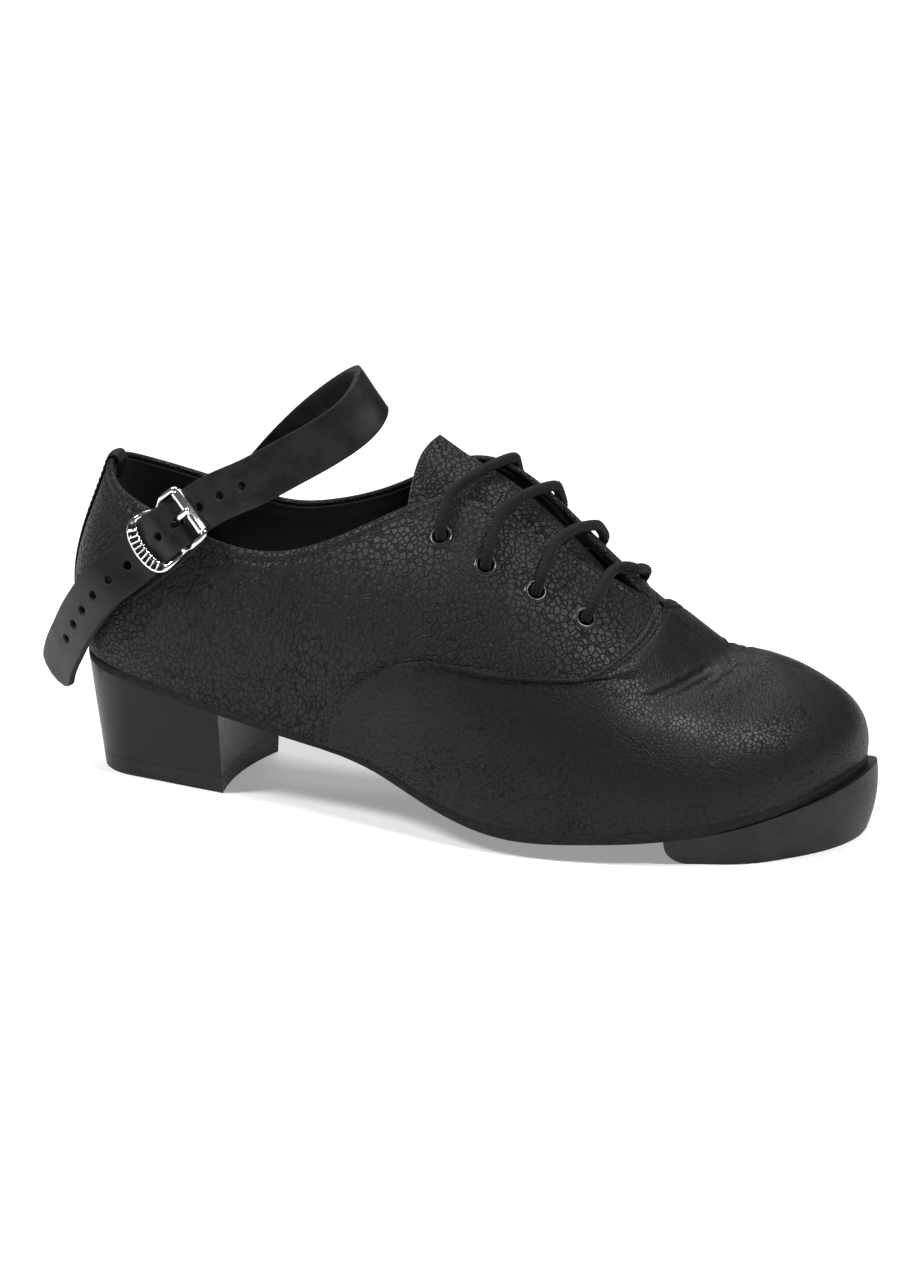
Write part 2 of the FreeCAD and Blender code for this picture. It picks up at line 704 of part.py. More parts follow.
# Rows from the throat up. Each gives the place along the lateral facing that the tongue's hidden edge
# lies under, then the crest and the open medial edge.
TONGUE = [
    (0.650, (157.5, 8.5, 70.6), (156.5, 15, 68.4)),
    (0.610, (143, 3, 86.2), (142.5, 10.2, 84.6)),
    (0.575, (128, -0.5, 98.0), (128, 9.5, 97.4)),
    (0.540, (114, -2, 104.8), (114, 9.5, 107.0)),
    (0.500, (101, -2.5, 109.3), (101, 10.0, 113.0)),
    (0.450, (87, -4, 113.0), (88.5, 12, 119.0)),
]
TONGUE_UNDER = LINING_IN - 0.9
TONGUE_TUCK = 0.90


def tongue_section(row):
    """Four points across the tongue, from its hidden lateral edge to its open medial edge."""
    v, crest, open_edge = row
    s = side_place(-1, v)
    tucked = [skin(s, TONGUE_TUCK, TONGUE_UNDER), skin(s, 0.975, TONGUE_UNDER)]
    return tucked + [Vector(*crest), Vector(*open_edge)]


def tongue_curves():
    knots = steps(0, 1, len(TONGUE))
    sections = [tongue_section(row) for row in TONGUE]
    return [Spline(knots, [section[i] for section in sections], False) for i in range(4)]


tongue_rails = tongue_curves()


def tongue_point(a, b):
    """a from the throat to the free end, b from the lateral to the medial edge."""
    corners = [rail.at(a) for rail in tongue_rails]
    return Spline([0.0, 0.27, 0.62, 1.0], corners, False).at(b)


def tongue_normal(a, b):
    d = 0.01
    forward = tongue_point(a + d, b) - tongue_point(a - d, b)
    across = tongue_point(a, b + d) - tongue_point(a, b - d)
    return across.cross(forward).normalize()


def tongue_grid(out):
    rows = []
    for a in steps(0.0, 1.0, 12):
        safe = min(max(a, 0.02), 0.98)
        row = []
        for b in steps(0, 1, 11):
            row.append(tongue_point(a, b) + tongue_normal(safe, min(max(b, 0.02), 0.98)) * out)
        rows.append(row)
    return rows


feature("tongue", slab_between(tongue_grid(0.0), tongue_grid(-size("tongue_thickness"))))

# ---------------------------------------------------------------- buckle

# Buckle frame of reference: along the strap towards its tail, across it, and out from the quarter.
BUCKLE_CENTRE = Vector(12.3, -31.7, 90.4)
TAIL_WAY = Vector(-0.737, -0.134, -0.663).normalize()
UP_WAY = Vector(-0.721, 0.16, 0.675)
UP_WAY = (UP_WAY - TAIL_WAY * UP_WAY.dot(TAIL_WAY)).normalize()
OUT_WAY = UP_WAY.cross(TAIL_WAY)
buckle_place = Placement(BUCKLE_CENTRE, Rotation(TAIL_WAY, UP_WAY * -1.0, OUT_WAY, "ZXY"))


def buckle_point(u, w, n):
    """World point from distances along, across (upwards) and out of the buckle."""
    return BUCKLE_CENTRE + TAIL_WAY * u + UP_WAY * w + OUT_WAY * n


def turned_along(direction):
    return Rotation(Vector(0, 0, 1), direction)


def bar_cylinder(name, radius, length, x, z):
    """Cylinder across the buckle, centred on its middle plane; radius and length are cell formulas."""
    item = doc.addObject("Part::Cylinder", name)
    item.setExpression("Radius", radius)
    item.setExpression("Height", length)
    item.Placement = Placement(Vector(), turned_along(Vector(0, 1, 0)))
    item.setExpression("Placement.Base.x", x)
    item.setExpression("Placement.Base.y", "-(%s) / 2" % length)
    item.setExpression("Placement.Base.z", z)
    return item


def rail_cylinder(name, start, end):
    """Side rail between two points of the buckle."""
    item = doc.addObject("Part::Cylinder", name)
    item.setExpression("Radius", "Sizes.rail_radius")
    item.Height = (end - start).Length
    item.Placement = Placement(start, turned_along(end - start))
    return item


def fused(label, pieces, place):
    item = doc.addObject("Part::MultiFuse", label)
    item.Label = label
    item.Shapes = pieces
    item.Placement = place
    return item


full_width = "2 * Sizes.buckle_half_width"
roller_x, keeper_x = "-Sizes.roller_reach", "Sizes.keeper_reach"
frame_pieces = [
    bar_cylinder("roller_bar", "Sizes.bar_radius", full_width + " - 2 * Sizes.rail_radius", roller_x,
                 "Sizes.plate_rise"),
    bar_cylinder("centre_bar", "Sizes.bar_radius", full_width + " - 2 * Sizes.rail_radius", "0 * 1",
                 "-Sizes.bar_drop"),
]
keeper = doc.addObject("Part::Box", "keeper_end")
keeper.setExpression("Length", "Sizes.keeper_width")
keeper.setExpression("Width", full_width)
keeper.Height = 2.0
keeper.setExpression("Placement.Base.x", keeper_x + " - Sizes.keeper_width / 2")
keeper.setExpression("Placement.Base.y", "-Sizes.buckle_half_width")
keeper.setExpression("Placement.Base.z", "Sizes.plate_rise - 1")
frame_pieces.append(keeper)
for side in (-1, 1):
    rail_y = side * (size("buckle_half_width") - size("rail_radius"))
    low = Vector(0, rail_y, -size("bar_drop"))
    for name, reach in (("front", -size("roller_reach")), ("back", size("keeper_reach"))):
        end = Vector(reach, rail_y, size("plate_rise"))
        frame_pieces.append(rail_cylinder("rail_%s_%s" % (name, "down" if side > 0 else "up"), low, end))
fused("buckle_frame", frame_pieces, buckle_place)

roller_outer = bar_cylinder("roller_outer", "Sizes.roller_radius", "Sizes.roller_length", roller_x,
                            "Sizes.plate_rise")
roller_bore = bar_cylinder("roller_bore", "Sizes.bar_radius + Sizes.running_gap", full_width, roller_x,
                           "Sizes.plate_rise")
roller = doc.addObject("Part::Cut", "buckle_roller")
roller.Label = "buckle_roller"
roller.Base = roller_outer
roller.Tool = roller_bore
roller.Placement = buckle_place

PRONG_CLEAR = 0.35
ring_radius, ring_drop = "Sizes.bar_radius + 1", "-Sizes.bar_drop"
ring_outer = bar_cylinder("ring_outer", ring_radius, "Sizes.prong_ring_width", "0 * 1", ring_drop)
bore_radius = "Sizes.bar_radius + Sizes.running_gap"
ring_bore = bar_cylinder("ring_bore", bore_radius, full_width, "0 * 1", ring_drop)
over_roller = size("plate_rise") + size("roller_radius") + size("prong_radius") + PRONG_CLEAR
finger_route = [
    Vector(-1.0, 0, size("bar_radius") + 0.6 - size("bar_drop")),
    Vector(-6.3, 0, over_roller - 0.5),
    Vector(-size("roller_reach") - 1.6, 0, over_roller + 0.1),
]
finger_pieces = []
for number, (start, end) in enumerate(zip(finger_route, finger_route[1:]), start=1):
    finger = doc.addObject("Part::Cylinder", "prong_finger_%d" % number)
    finger.setExpression("Radius", "Sizes.prong_radius")
    finger.Height = (end - start).Length
    finger.Placement = Placement(start, turned_along(end - start))
    knuckle = doc.addObject("Part::Sphere", "prong_knuckle_%d" % number)
    knuckle.setExpression("Radius", "Sizes.prong_radius")
    knuckle.Placement = Placement(end, Rotation())
    finger_pieces += [finger, knuckle]
prong_solid = doc.addObject("Part::MultiFuse", "prong_solid")
prong_solid.Shapes = [ring_outer] + finger_pieces
prong = doc.addObject("Part::Cut", "buckle_prong")
prong.Label = "buckle_prong"
prong.Base = prong_solid
prong.Tool = ring_bore
prong.Placement = buckle_place
doc.recompute()

# ---------------------------------------------------------------- chape: the tab that holds the buckle

CHAPE_CORNERS = ((0.0695, 0.475), (0.048, 0.67), (0.0715, 0.985), (0.110, 0.985))
CHAPE_LEATHER = 1.0
LOOP_HALF_WIDTH = 6.5
PRONG_SLOT = 2.1


def quad_places(corners, rows, columns):
    """Grid of places spread over a four-cornered patch."""
    first, second, third, fourth = corners
    grid = []
    for a in steps(0, 1, rows):
        near = [lerp(first[k], fourth[k], a) for k in (0, 1)]
        far = [lerp(second[k], third[k], a) for k in (0, 1)]
        grid.append([(lerp(near[0], far[0], b), lerp(near[1], far[1], b)) for b in steps(0, 1, columns)])
    return grid


def local_cylinder(radius, half_width, x, z):
    start = buckle_point(x, half_width, z)
    return Part.makeCylinder(radius, 2 * half_width, start, UP_WAY * -1.0)


def local_box(x_low, x_high, half_width, z_low, z_high):
    box = Part.makeBox(x_high - x_low, 2 * half_width, z_high - z_low, Vector(x_low, -half_width, z_low))
    box.Placement = buckle_place.multiply(box.Placement)
    return box


loop_bore = size("bar_radius") + 0.15
loop_outer = loop_bore + CHAPE_LEATHER
drop = -size("bar_drop")
chape = layer(quad_places(CHAPE_CORNERS, 12, 9), 1.55, 0.15)
loop_strip = local_box(0, 9, LOOP_HALF_WIDTH, drop - loop_outer - 1.2, drop - loop_outer + 1.3)
chape = chape.fuse(local_cylinder(loop_outer, LOOP_HALF_WIDTH, 0, drop)).fuse(loop_strip)
chape = chape.cut(local_cylinder(loop_bore, 3 * LOOP_HALF_WIDTH, 0, drop))
chape = chape.cut(local_box(-4, 4.5, PRONG_SLOT, drop - size("bar_radius") - 1.5, 6))
quarter_corners = ((0.05, 0.3), (0.02, 0.6), (0.05, 0.995), (0.14, 0.995))
quarter_core = layer(quad_places(quarter_corners, 12, 12), 0.14, -3.6)
chape = chape.cut(quarter_core)
feature("buckle_chape", chape)

# ---------------------------------------------------------------- ankle strap

# Middle line and upward edge direction of the strap, from its sewn end on the medial quarter, over the
# loop and through the buckle to the tip.
FLAT_WAY = (-0.72, -0.16, 0.675)
STRAP = [
    (skin(1 - 0.052, 0.50, 2.2), FLAT_WAY),
    (skin(1 - 0.068, 0.70, 2.2), FLAT_WAY),
    (skin(1 - 0.086, 0.90, 2.4), FLAT_WAY),
    (Vector(27.7, 21.5, 101.5), (-0.67, -0.13, 0.73)),
    (Vector(37.5, 17, 111.5), (-0.66, -0.15, 0.73)),
    (Vector(47.7, 12.5, 120.8), (-0.62, -0.15, 0.77)),
    (Vector(57.8, 8.5, 128.8), (-0.56, -0.17, 0.81)),
    (Vector(64.9, 4.0, 133.6), (-0.52, -0.16, 0.84)),
    (Vector(69.9, -1.0, 135.6), (-0.52, -0.16, 0.84)),
    (Vector(71.4, -6.5, 132.9), (-0.50, -0.13, 0.86)),
    (Vector(69.6, -11.0, 128.6), (-0.51, -0.07, 0.86)),
    (Vector(64.8, -15.0, 124.0), (-0.51, -0.02, 0.86)),
    (Vector(57.2, -19.0, 118.8), (-0.52, 0.05, 0.86)),
    (Vector(48.0, -22.5, 113.2), (-0.54, 0.10, 0.84)),
    (Vector(38.0, -26.0, 107.3), (-0.60, 0.15, 0.79)),
    (buckle_point(-17, -0.7, -2.6), UP_WAY),
    (buckle_point(-10.4, 0, -2.5), UP_WAY),
    (buckle_point(-5, 0, -0.1), UP_WAY),
    (buckle_point(0, 0, 1.95), UP_WAY),
    (buckle_point(6, 0, 0.0), UP_WAY),
    (buckle_point(11.9, 0, -1.75), UP_WAY),
    (buckle_point(19.5, 0, -2.2), UP_WAY),
    (Vector(-8.7, -33.3, 71.4), (-0.70, 0.2, 0.68)),
    (Vector(-14, -32.3, 65.7), (-0.70, 0.22, 0.67)),
    (Vector(-19, -29.9, 59.5), (-0.72, 0.26, 0.64)),
    (Vector(-23.6, -27, 53.3), (-0.74, 0.3, 0.6)),
    (Vector(-28, -23.5, 46.6), (-0.76, 0.34, 0.55)),
    (Vector(-33.5, -18.5, 38), (-0.78, 0.38, 0.5)),
    (Vector(-37, -14, 29.5), (-0.8, 0.4, 0.45)),
]


def chord_knots(points):
    knots = [0.0]
    for a, b in zip(points, points[1:]):
        knots.append(knots[-1] + (b - a).Length)
    return knots


strap_points = [point for point, _ in STRAP]
strap_knots = chord_knots(strap_points)
strap_line = Spline(strap_knots, strap_points, False)
strap_edge = Spline(strap_knots, [Vector(*way) for _, way in STRAP], False)


def strap_axes(u):
    """Middle point, forward, across and outward directions of the strap."""
    step = 0.2
    low, high = max(u - step, 0), min(u + step, strap_knots[-1])
    forward = (strap_line.at(high) - strap_line.at(low)).normalize()
    across = strap_edge.at(u)
    across = (across - forward * across.dot(forward)).normalize()
    return strap_line.at(u), forward, across, across.cross(forward)


def strap_grid(out):
    rows = []
    for u in steps(0, strap_knots[-1], 110):
        middle, _, across, away = strap_axes(u)
        half = size("strap_width") / 2
        rows.append([middle + across * w + away * out for w in steps(-half, half, 5)])
    return rows


thick = size("strap_thickness")
strap = slab_between(strap_grid(thick / 2), strap_grid(-thick / 2))

BAR_KNOT = 18
PRONG_HOLE_U = -5.2
prong_knot = strap_knots[BAR_KNOT] + PRONG_HOLE_U
hole_cutters = []
for index in range(-8, 4):
    middle, _, _, away = strap_axes(prong_knot - index * size("strap_hole_pitch"))
    radius = size("strap_hole_radius")
    hole_cutters.append(Part.makeCylinder(radius, 3 * thick, middle - away * (1.5 * thick), away))
slot = local_box(-7.2, 0.2, size("strap_hole_radius"), -4, 6)
feature("ankle_strap", strap.cut(Part.makeCompound(hole_cutters)).cut(slot))

# ---------------------------------------------------------------- lace

LACE_UNDER, LACE_OVER, LACE_EDGE = -7.4, 3.7, 3.2
LACE_BEND = 3.0
LACE_CROWN = 1.4


def lace_stop(side, row):
    """Points of the lace at one eyelet: below the lining, above the leather and over the facing edge."""
    v, t = EYELETS[side][row]
    s = side_place(side, v)
    return skin(s, t, LACE_UNDER), skin(s, t, LACE_OVER), skin(s, 0.99, LACE_EDGE)


def over_tongue(near_edge, far_edge):
    """Middle of a bar of the lace, arched over the tongue."""
    span = far_edge - near_edge
    rise = Vector(span.z, 0, abs(span.y)).normalize()
    return (near_edge + far_edge) * 0.5 + rise * LACE_CROWN


def lace_route():
    """One lace: in straight bars over the tongue, and from row to row under the facings."""
    points = [skin(side_place(-1, 0.47), 0.64, LACE_UNDER - 0.8)]
    way = -1
    for row in range(len(EYELETS[way])):
        under, over, near_edge = lace_stop(way, row)
        points += [under, over, near_edge]
        way = -way
        under, over, far_edge = lace_stop(way, row)
        points += [over_tongue(near_edge, far_edge), far_edge, over, under]
    points.append(skin(side_place(way, 0.655), 0.64, LACE_UNDER - 0.8))
    return points


def rounded_wire(points, largest):
    """Straight runs joined by tangent arcs."""
    edges = []
    start = points[0]
    for before, corner, after in zip(points, points[1:], points[2:]):
        back = (before - corner).normalize()
        ahead = (after - corner).normalize()
        half_turn = (math.pi - back.getAngle(ahead)) / 2
        run = 0.45 * min((before - corner).Length, (after - corner).Length)
        radius = min(run / math.tan(half_turn), largest)
        cut = radius * math.tan(half_turn)
        arc_start, arc_end = corner + back * cut, corner + ahead * cut
        bisector = (back + ahead).normalize()
        arc_middle = corner + bisector * (radius / math.cos(half_turn) - radius)
        edges.append(Part.makeLine(start, arc_start))
        edges.append(Part.Arc(arc_start, arc_middle, arc_end).toShape())
        start = arc_end
    edges.append(Part.makeLine(start, points[-1]))
    return Part.Wire(edges)


lace_points = lace_route()
lace_wire = rounded_wire(lace_points, LACE_BEND)
lace_start = (lace_points[1] - lace_points[0]).normalize()
lace_ring = Part.Wire(Part.Circle(lace_points[0], lace_start, size("lace_radius")).toShape())
lace = lace_wire.makePipeShell([lace_ring], True, True)
lace_ideal = math.pi * size("lace_radius") ** 2 * lace_wire.Length
print("lace length %.1f, volume ratio %.3f" % (lace_wire.Length, lace.Volume / lace_ideal))
feature("lace", lace)

# ---------------------------------------------------------------- check and write

NODES = [
    "outsole", "insole", "sock_liner", "shank", "cork_filler", "lasting_edge",
    "heel_tip", "heel_block", "heel_nails", "toe_tip", "toe_tip_screws",
    "vamp", "lateral_quarter", "medial_quarter", "back_strip", "quarter_lining", "vamp_lining",
    "toe_puff", "heel_counter", "lateral_eyelet_stay", "medial_eyelet_stay",
    "tongue", "lateral_eyelets", "medial_eyelets", "lace",
    "ankle_strap", "buckle_chape", "buckle_frame", "buckle_roller", "buckle_prong",
]

doc.recompute()
for item in doc.Objects:
    if "Invalid" in item.State or "Error" in item.State:
        raise RuntimeError("%s did not build: %s" % (item.Label, item.State))
os.makedirs("parts", exist_ok=True)
for label in NODES:
    item = doc.getObjectsByLabel(label)[0]
    shape = item.Shape
    if shape.isNull() or not shape.isValid() or shape.Volume <= 0:
        raise RuntimeError("%s has no sound shape" % label)
    shape.exportStep("parts/%s.step" % label)
print("wrote %d sub-parts" % len(NODES))
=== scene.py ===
import math

import bmesh
import bpy
import numpy as np
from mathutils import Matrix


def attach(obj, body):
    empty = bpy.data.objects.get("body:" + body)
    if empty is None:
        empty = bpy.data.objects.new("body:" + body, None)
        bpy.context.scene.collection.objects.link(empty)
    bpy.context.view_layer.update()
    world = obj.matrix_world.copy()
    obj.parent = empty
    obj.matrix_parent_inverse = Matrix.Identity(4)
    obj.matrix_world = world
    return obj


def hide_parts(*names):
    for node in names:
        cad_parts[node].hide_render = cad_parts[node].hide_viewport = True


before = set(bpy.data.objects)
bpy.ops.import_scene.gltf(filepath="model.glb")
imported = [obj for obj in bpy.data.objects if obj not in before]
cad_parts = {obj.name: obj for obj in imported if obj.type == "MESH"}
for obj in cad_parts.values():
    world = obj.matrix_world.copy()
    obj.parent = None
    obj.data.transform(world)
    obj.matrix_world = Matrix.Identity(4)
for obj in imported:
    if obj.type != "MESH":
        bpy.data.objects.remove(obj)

# Looks of the tap shoe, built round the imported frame. Shapes are worked out in millimetres and written
# to Blender in metres.

MM = 0.001
scene = bpy.context.scene
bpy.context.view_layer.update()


# ---- camera

def unit(vectors):
    vectors = np.asarray(vectors, float)
    return vectors / np.maximum(np.linalg.norm(vectors, axis=-1, keepdims=True), 1e-12)


def make_camera():
    azimuth, elevation, distance = math.radians(22), math.radians(18), 1.8
    target = np.array([0.09501, 0.00583, 0.05235])
    back = np.array([
        math.sin(azimuth) * math.cos(elevation),
        -math.cos(azimuth) * math.cos(elevation),
        math.sin(elevation),
    ])
    data = bpy.data.cameras.new("Camera")
    data.sensor_width = 36
    data.lens = 156.94
    camera = bpy.data.objects.new("Camera", data)
    scene.collection.objects.link(camera)
    camera.location = target + back * distance
    camera.rotation_euler = (math.pi / 2 - elevation, 0, azimuth)
    scene.camera = camera


make_camera()


# ---- splines and the shape of the upper

class Spline:
    """Cubic spline through points at rising knots, closed with period 1 or open with free ends."""

    def __init__(self, knots, points, closed=False):
        self.knots = np.array(knots, float)
        self.points = np.array(points, float)
        if self.points.ndim == 1:
            self.points = self.points[:, None]
        self.closed = closed
        n = len(self.knots)
        if closed:
            self.knots = np.append(self.knots, self.knots[0] + 1.0)
            self.points = np.vstack([self.points, self.points[:1]])
        gaps = np.diff(self.knots)
        slopes = np.diff(self.points, axis=0) / gaps[:, None]
        system = np.eye(n)
        right = np.zeros((n, self.points.shape[1]))
        for i in range(n) if closed else range(1, n - 1):
            before, after = gaps[i - 1], gaps[i]
            system[i] = 0
            system[i, i - 1] += before
            system[i, i] += 2 * (before + after)
            system[i, (i + 1) % n] += after
            right[i] = 6 * (slopes[i] - slopes[i - 1])
        bends = np.linalg.solve(system, right)
        self.bends = np.vstack([bends, bends[:1]]) if closed else bends

    def __call__(self, u):
        u = np.asarray(u, float)
        if self.closed:
            u = np.mod(u - self.knots[0], 1.0) + self.knots[0]
        i = np.clip(np.searchsorted(self.knots, u, side="right") - 1, 0, len(self.knots) - 2)
        gap = (self.knots[i + 1] - self.knots[i])[..., None]
        a = self.knots[i + 1][..., None] - u[..., None]
        b = u[..., None] - self.knots[i][..., None]
        bend = self.bends[i] * a ** 3 / (6 * gap) + self.bends[i + 1] * b ** 3 / (6 * gap)
        low = (self.points[i] / gap - self.bends[i] * gap / 6) * a
        high = (self.points[i + 1] / gap - self.bends[i + 1] * gap / 6) * b
        return bend + low + high


def lerp(a, b, f):
    return a + (b - a) * f


def smooth(x, low, high):
    f = np.clip((x - low) / (high - low), 0, 1)
    return f * f * (3 - 2 * f)


def hump(x, centre, width):
    return np.exp(-((x - centre) / width) ** 2)


# Height of the feather line, where the upper meets the sole, along the shoe, and the sole under it.
FEATHER_X = [-45, -29, -21, 0, 26, 55, 82, 105, 131, 158, 185, 210, 225, 231, 245]
FEATHER_Z = [44, 41.7, 40.8, 37.3, 32.5, 26.9, 22.4, 15, 9.6, 10.4, 12.6, 17.2, 22, 24.6, 32]
SOLE_THICKNESS = [3.2, 3.2, 3.2, 3.2, 3.0, 2.8, 2.8, 3.2, 3.7, 3.8, 3.7, 3.5, 3.4, 3.4, 3.4]
feather_curve = Spline(FEATHER_X, FEATHER_Z)
sole_curve = Spline(FEATHER_X, SOLE_THICKNESS)


def feather_height(x):
    return feather_curve(x)[..., 0]


def sole_thickness(x):
    return sole_curve(x)[..., 0]


# Stations round the shoe, as in the frame: place along the side, foot point in plan, top point, direction
# the wall leans out, lower handle length, lean, upper handle length and direction.
STATIONS = [
    (0.0, (-29, 0), (-22, 0, 103.5), 180, 26, 24, 22, (-8, 0, -24)),
    (0.068, (-21, -19), (-15, -14, 98.5), 232, 26, 22, 22, (-5, -7, -24)),
    (0.141, (0, -27), (2, -22.5, 93), 262, 24, 17, 20, (-1, -8, -24)),
    (0.229, (26, -29.5), (25, -26.5, 87), 268, 22, 12, 20, (0, -8, -24)),
    (0.320, (55, -30), (48, -27, 85.7), 270, 24, 12, 20, (0, -9, -20)),
    (0.408, (82, -34), (74, -23.5, 95.5), 272, 30, 12, 26, (1, -16, -20)),
    (0.488, (105, -40), (100, -12, 106), 275, 36, 12, 30, (2, -26, -12)),
    (0.576, (131, -44), (130, -8.5, 95.5), 280, 34, 10, 30, (2, -28, -9)),
    (0.667, (158, -42), (165, 6, 73), 286, 32, 8, 34, (0, -30, -2)),
    (0.760, (185, -34), (184, 14, 58.2), 300, 27, 6, 31, (3, -30, -1)),
    (0.854, (210, -18), (198, 18, 55.7), 322, 22, 8, 24, (14, -20, -5)),
    (0.930, (225, 1), (204, 18.5, 54), 345, 18, 9, 18, (20, -9, -8)),
    (1.0, (230, 21), (206, 18.5, 53.4), 5, 15.5, 9, 16, (20, 4, -8)),
    (1.070, (223, 40), (204, 18.5, 54), 35, 18, 9, 18, (17, 12, -7.1)),
    (1.146, (204, 50), (198, 18, 55.7), 65, 22, 8, 22, (8, 21, -3.2)),
    (1.240, (177, 50), (184, 14, 58.2), 82, 28, 6, 27, (0, 24, 0)),
    (1.333, (150, 45), (165, 6, 73), 90, 32, 8, 28, (-2, 26, 0)),
    (1.424, (123, 38), (130, 15, 99), 98, 34, 10, 26, (-2, 23, -11)),
    (1.512, (98, 29), (101, 15, 112.5), 96, 36, 12, 26, (-3, 18, -18)),
    (1.592, (76, 24), (74, 17, 100.5), 92, 32, 12, 24, (-2, 12, -22)),
    (1.680, (52, 23), (48, 24.5, 89.5), 90, 26, 12, 20, (0, 8, -22)),
    (1.771, (26, 26), (27, 26, 87), 92, 24, 14, 20, (0, 8, -24)),
    (1.859, (0, 26), (3, 22.5, 93), 98, 24, 18, 20, (-1, 8, -24)),
    (1.932, (-21, 18.5), (-15, 14, 99.5), 128, 26, 22, 22, (-5, 7, -24)),
]
THROAT = 0.667


def station_curves():
    """Closed curves through the foot points, the two handles and the top points."""
    knots = [row[0] / 2 for row in STATIONS]
    feet, lows, highs, tops = [], [], [], []
    for _, foot, top, bearing, low_length, lean, high_length, way in STATIONS:
        base = np.array([foot[0], foot[1], feather_height(foot[0])])
        turn, tilt = math.radians(bearing), math.radians(lean)
        rise = np.array([math.cos(turn) * math.sin(tilt), math.sin(turn) * math.sin(tilt), math.cos(tilt)])
        feet.append(base)
        lows.append(base + rise * low_length)
        highs.append(np.array(top) + unit(way) * high_length)
        tops.append(top)
    return [Spline(knots, points, True) for points in (feet, lows, highs, tops)]


foot_curve, low_curve, high_curve, top_curve = station_curves()


def along(s):
    s = np.mod(s, 1.0)
    return 2 * np.minimum(s, 1 - s)


def skin_point(s, t):
    """Outer face of the upper: s goes round the shoe, t from the feather line to the top edge."""
    s, t = np.broadcast_arrays(np.asarray(s, float), np.asarray(t, float))
    top = top_curve(s)
    shared = (top + top_curve(1 - s)) / 2
    top = np.where((along(s) < THROAT)[..., None], top, shared)
    t = t[..., None]
    r = 1 - t
    return foot_curve(s) * r ** 3 + low_curve(s) * 3 * t * r * r + high_curve(s) * 3 * t * t * r + top * t ** 3


def raw_normal(s, t):
    ds, dt = 0.0015, 0.01
    t = np.clip(t, dt, 0.985)
    round_way = skin_point(s + ds, t) - skin_point(s - ds, t)
    up_way = skin_point(s, t + dt) - skin_point(s, t - dt)
    return unit(np.cross(round_way, up_way))


def skin_normal(s, t):
    """Outward direction of the upper. Both sides share it along the ridge of the vamp."""
    s, t = np.broadcast_arrays(np.asarray(s, float), np.asarray(t, float))
    own = raw_normal(s, t)
    share = np.where(along(s) >= THROAT, smooth(t, 0.9, 1.0) * 0.5, 0)[..., None]
    return unit(own * (1 - share) + raw_normal(1 - s, t) * share)


def skin(s, t, out=0.0):
    """Point of the upper moved out, or in when out is negative, along its normal."""
    return skin_point(s, t) + skin_normal(s, t) * np.asarray(out, float)[..., None]


def side_place(side, v):
    return v / 2 if side < 0 else 1 - v / 2


VAMP_SEAM = [
    (0.347, 0), (0.357, 0.15), (0.393, 0.304), (0.442, 0.388), (0.532, 0.430),
    (0.598, 0.483), (0.645, 0.55), (0.667, 0.70), (0.673, 0.83), (0.667, 1.0),
]
seam_curve = Spline(np.linspace(0, 1, len(VAMP_SEAM)), VAMP_SEAM)

# Eyelets from the top down, on the lateral (-1) and the medial (+1) side.
EYELETS = {
    -1: [(0.495, 0.821), (0.543, 0.771), (0.588, 0.775), (0.628, 0.7625)],
    1: [(0.520, 0.821), (0.561, 0.790), (0.600, 0.785), (0.640, 0.775)],
}
SIDES = ((-1, "lateral"), (1, "medial"))


def eyelet_axes(side):
    return [(skin(side_place(side, v), t), skin_normal(side_place(side, v), t)) for v, t in EYELETS[side]]


# ---- materials

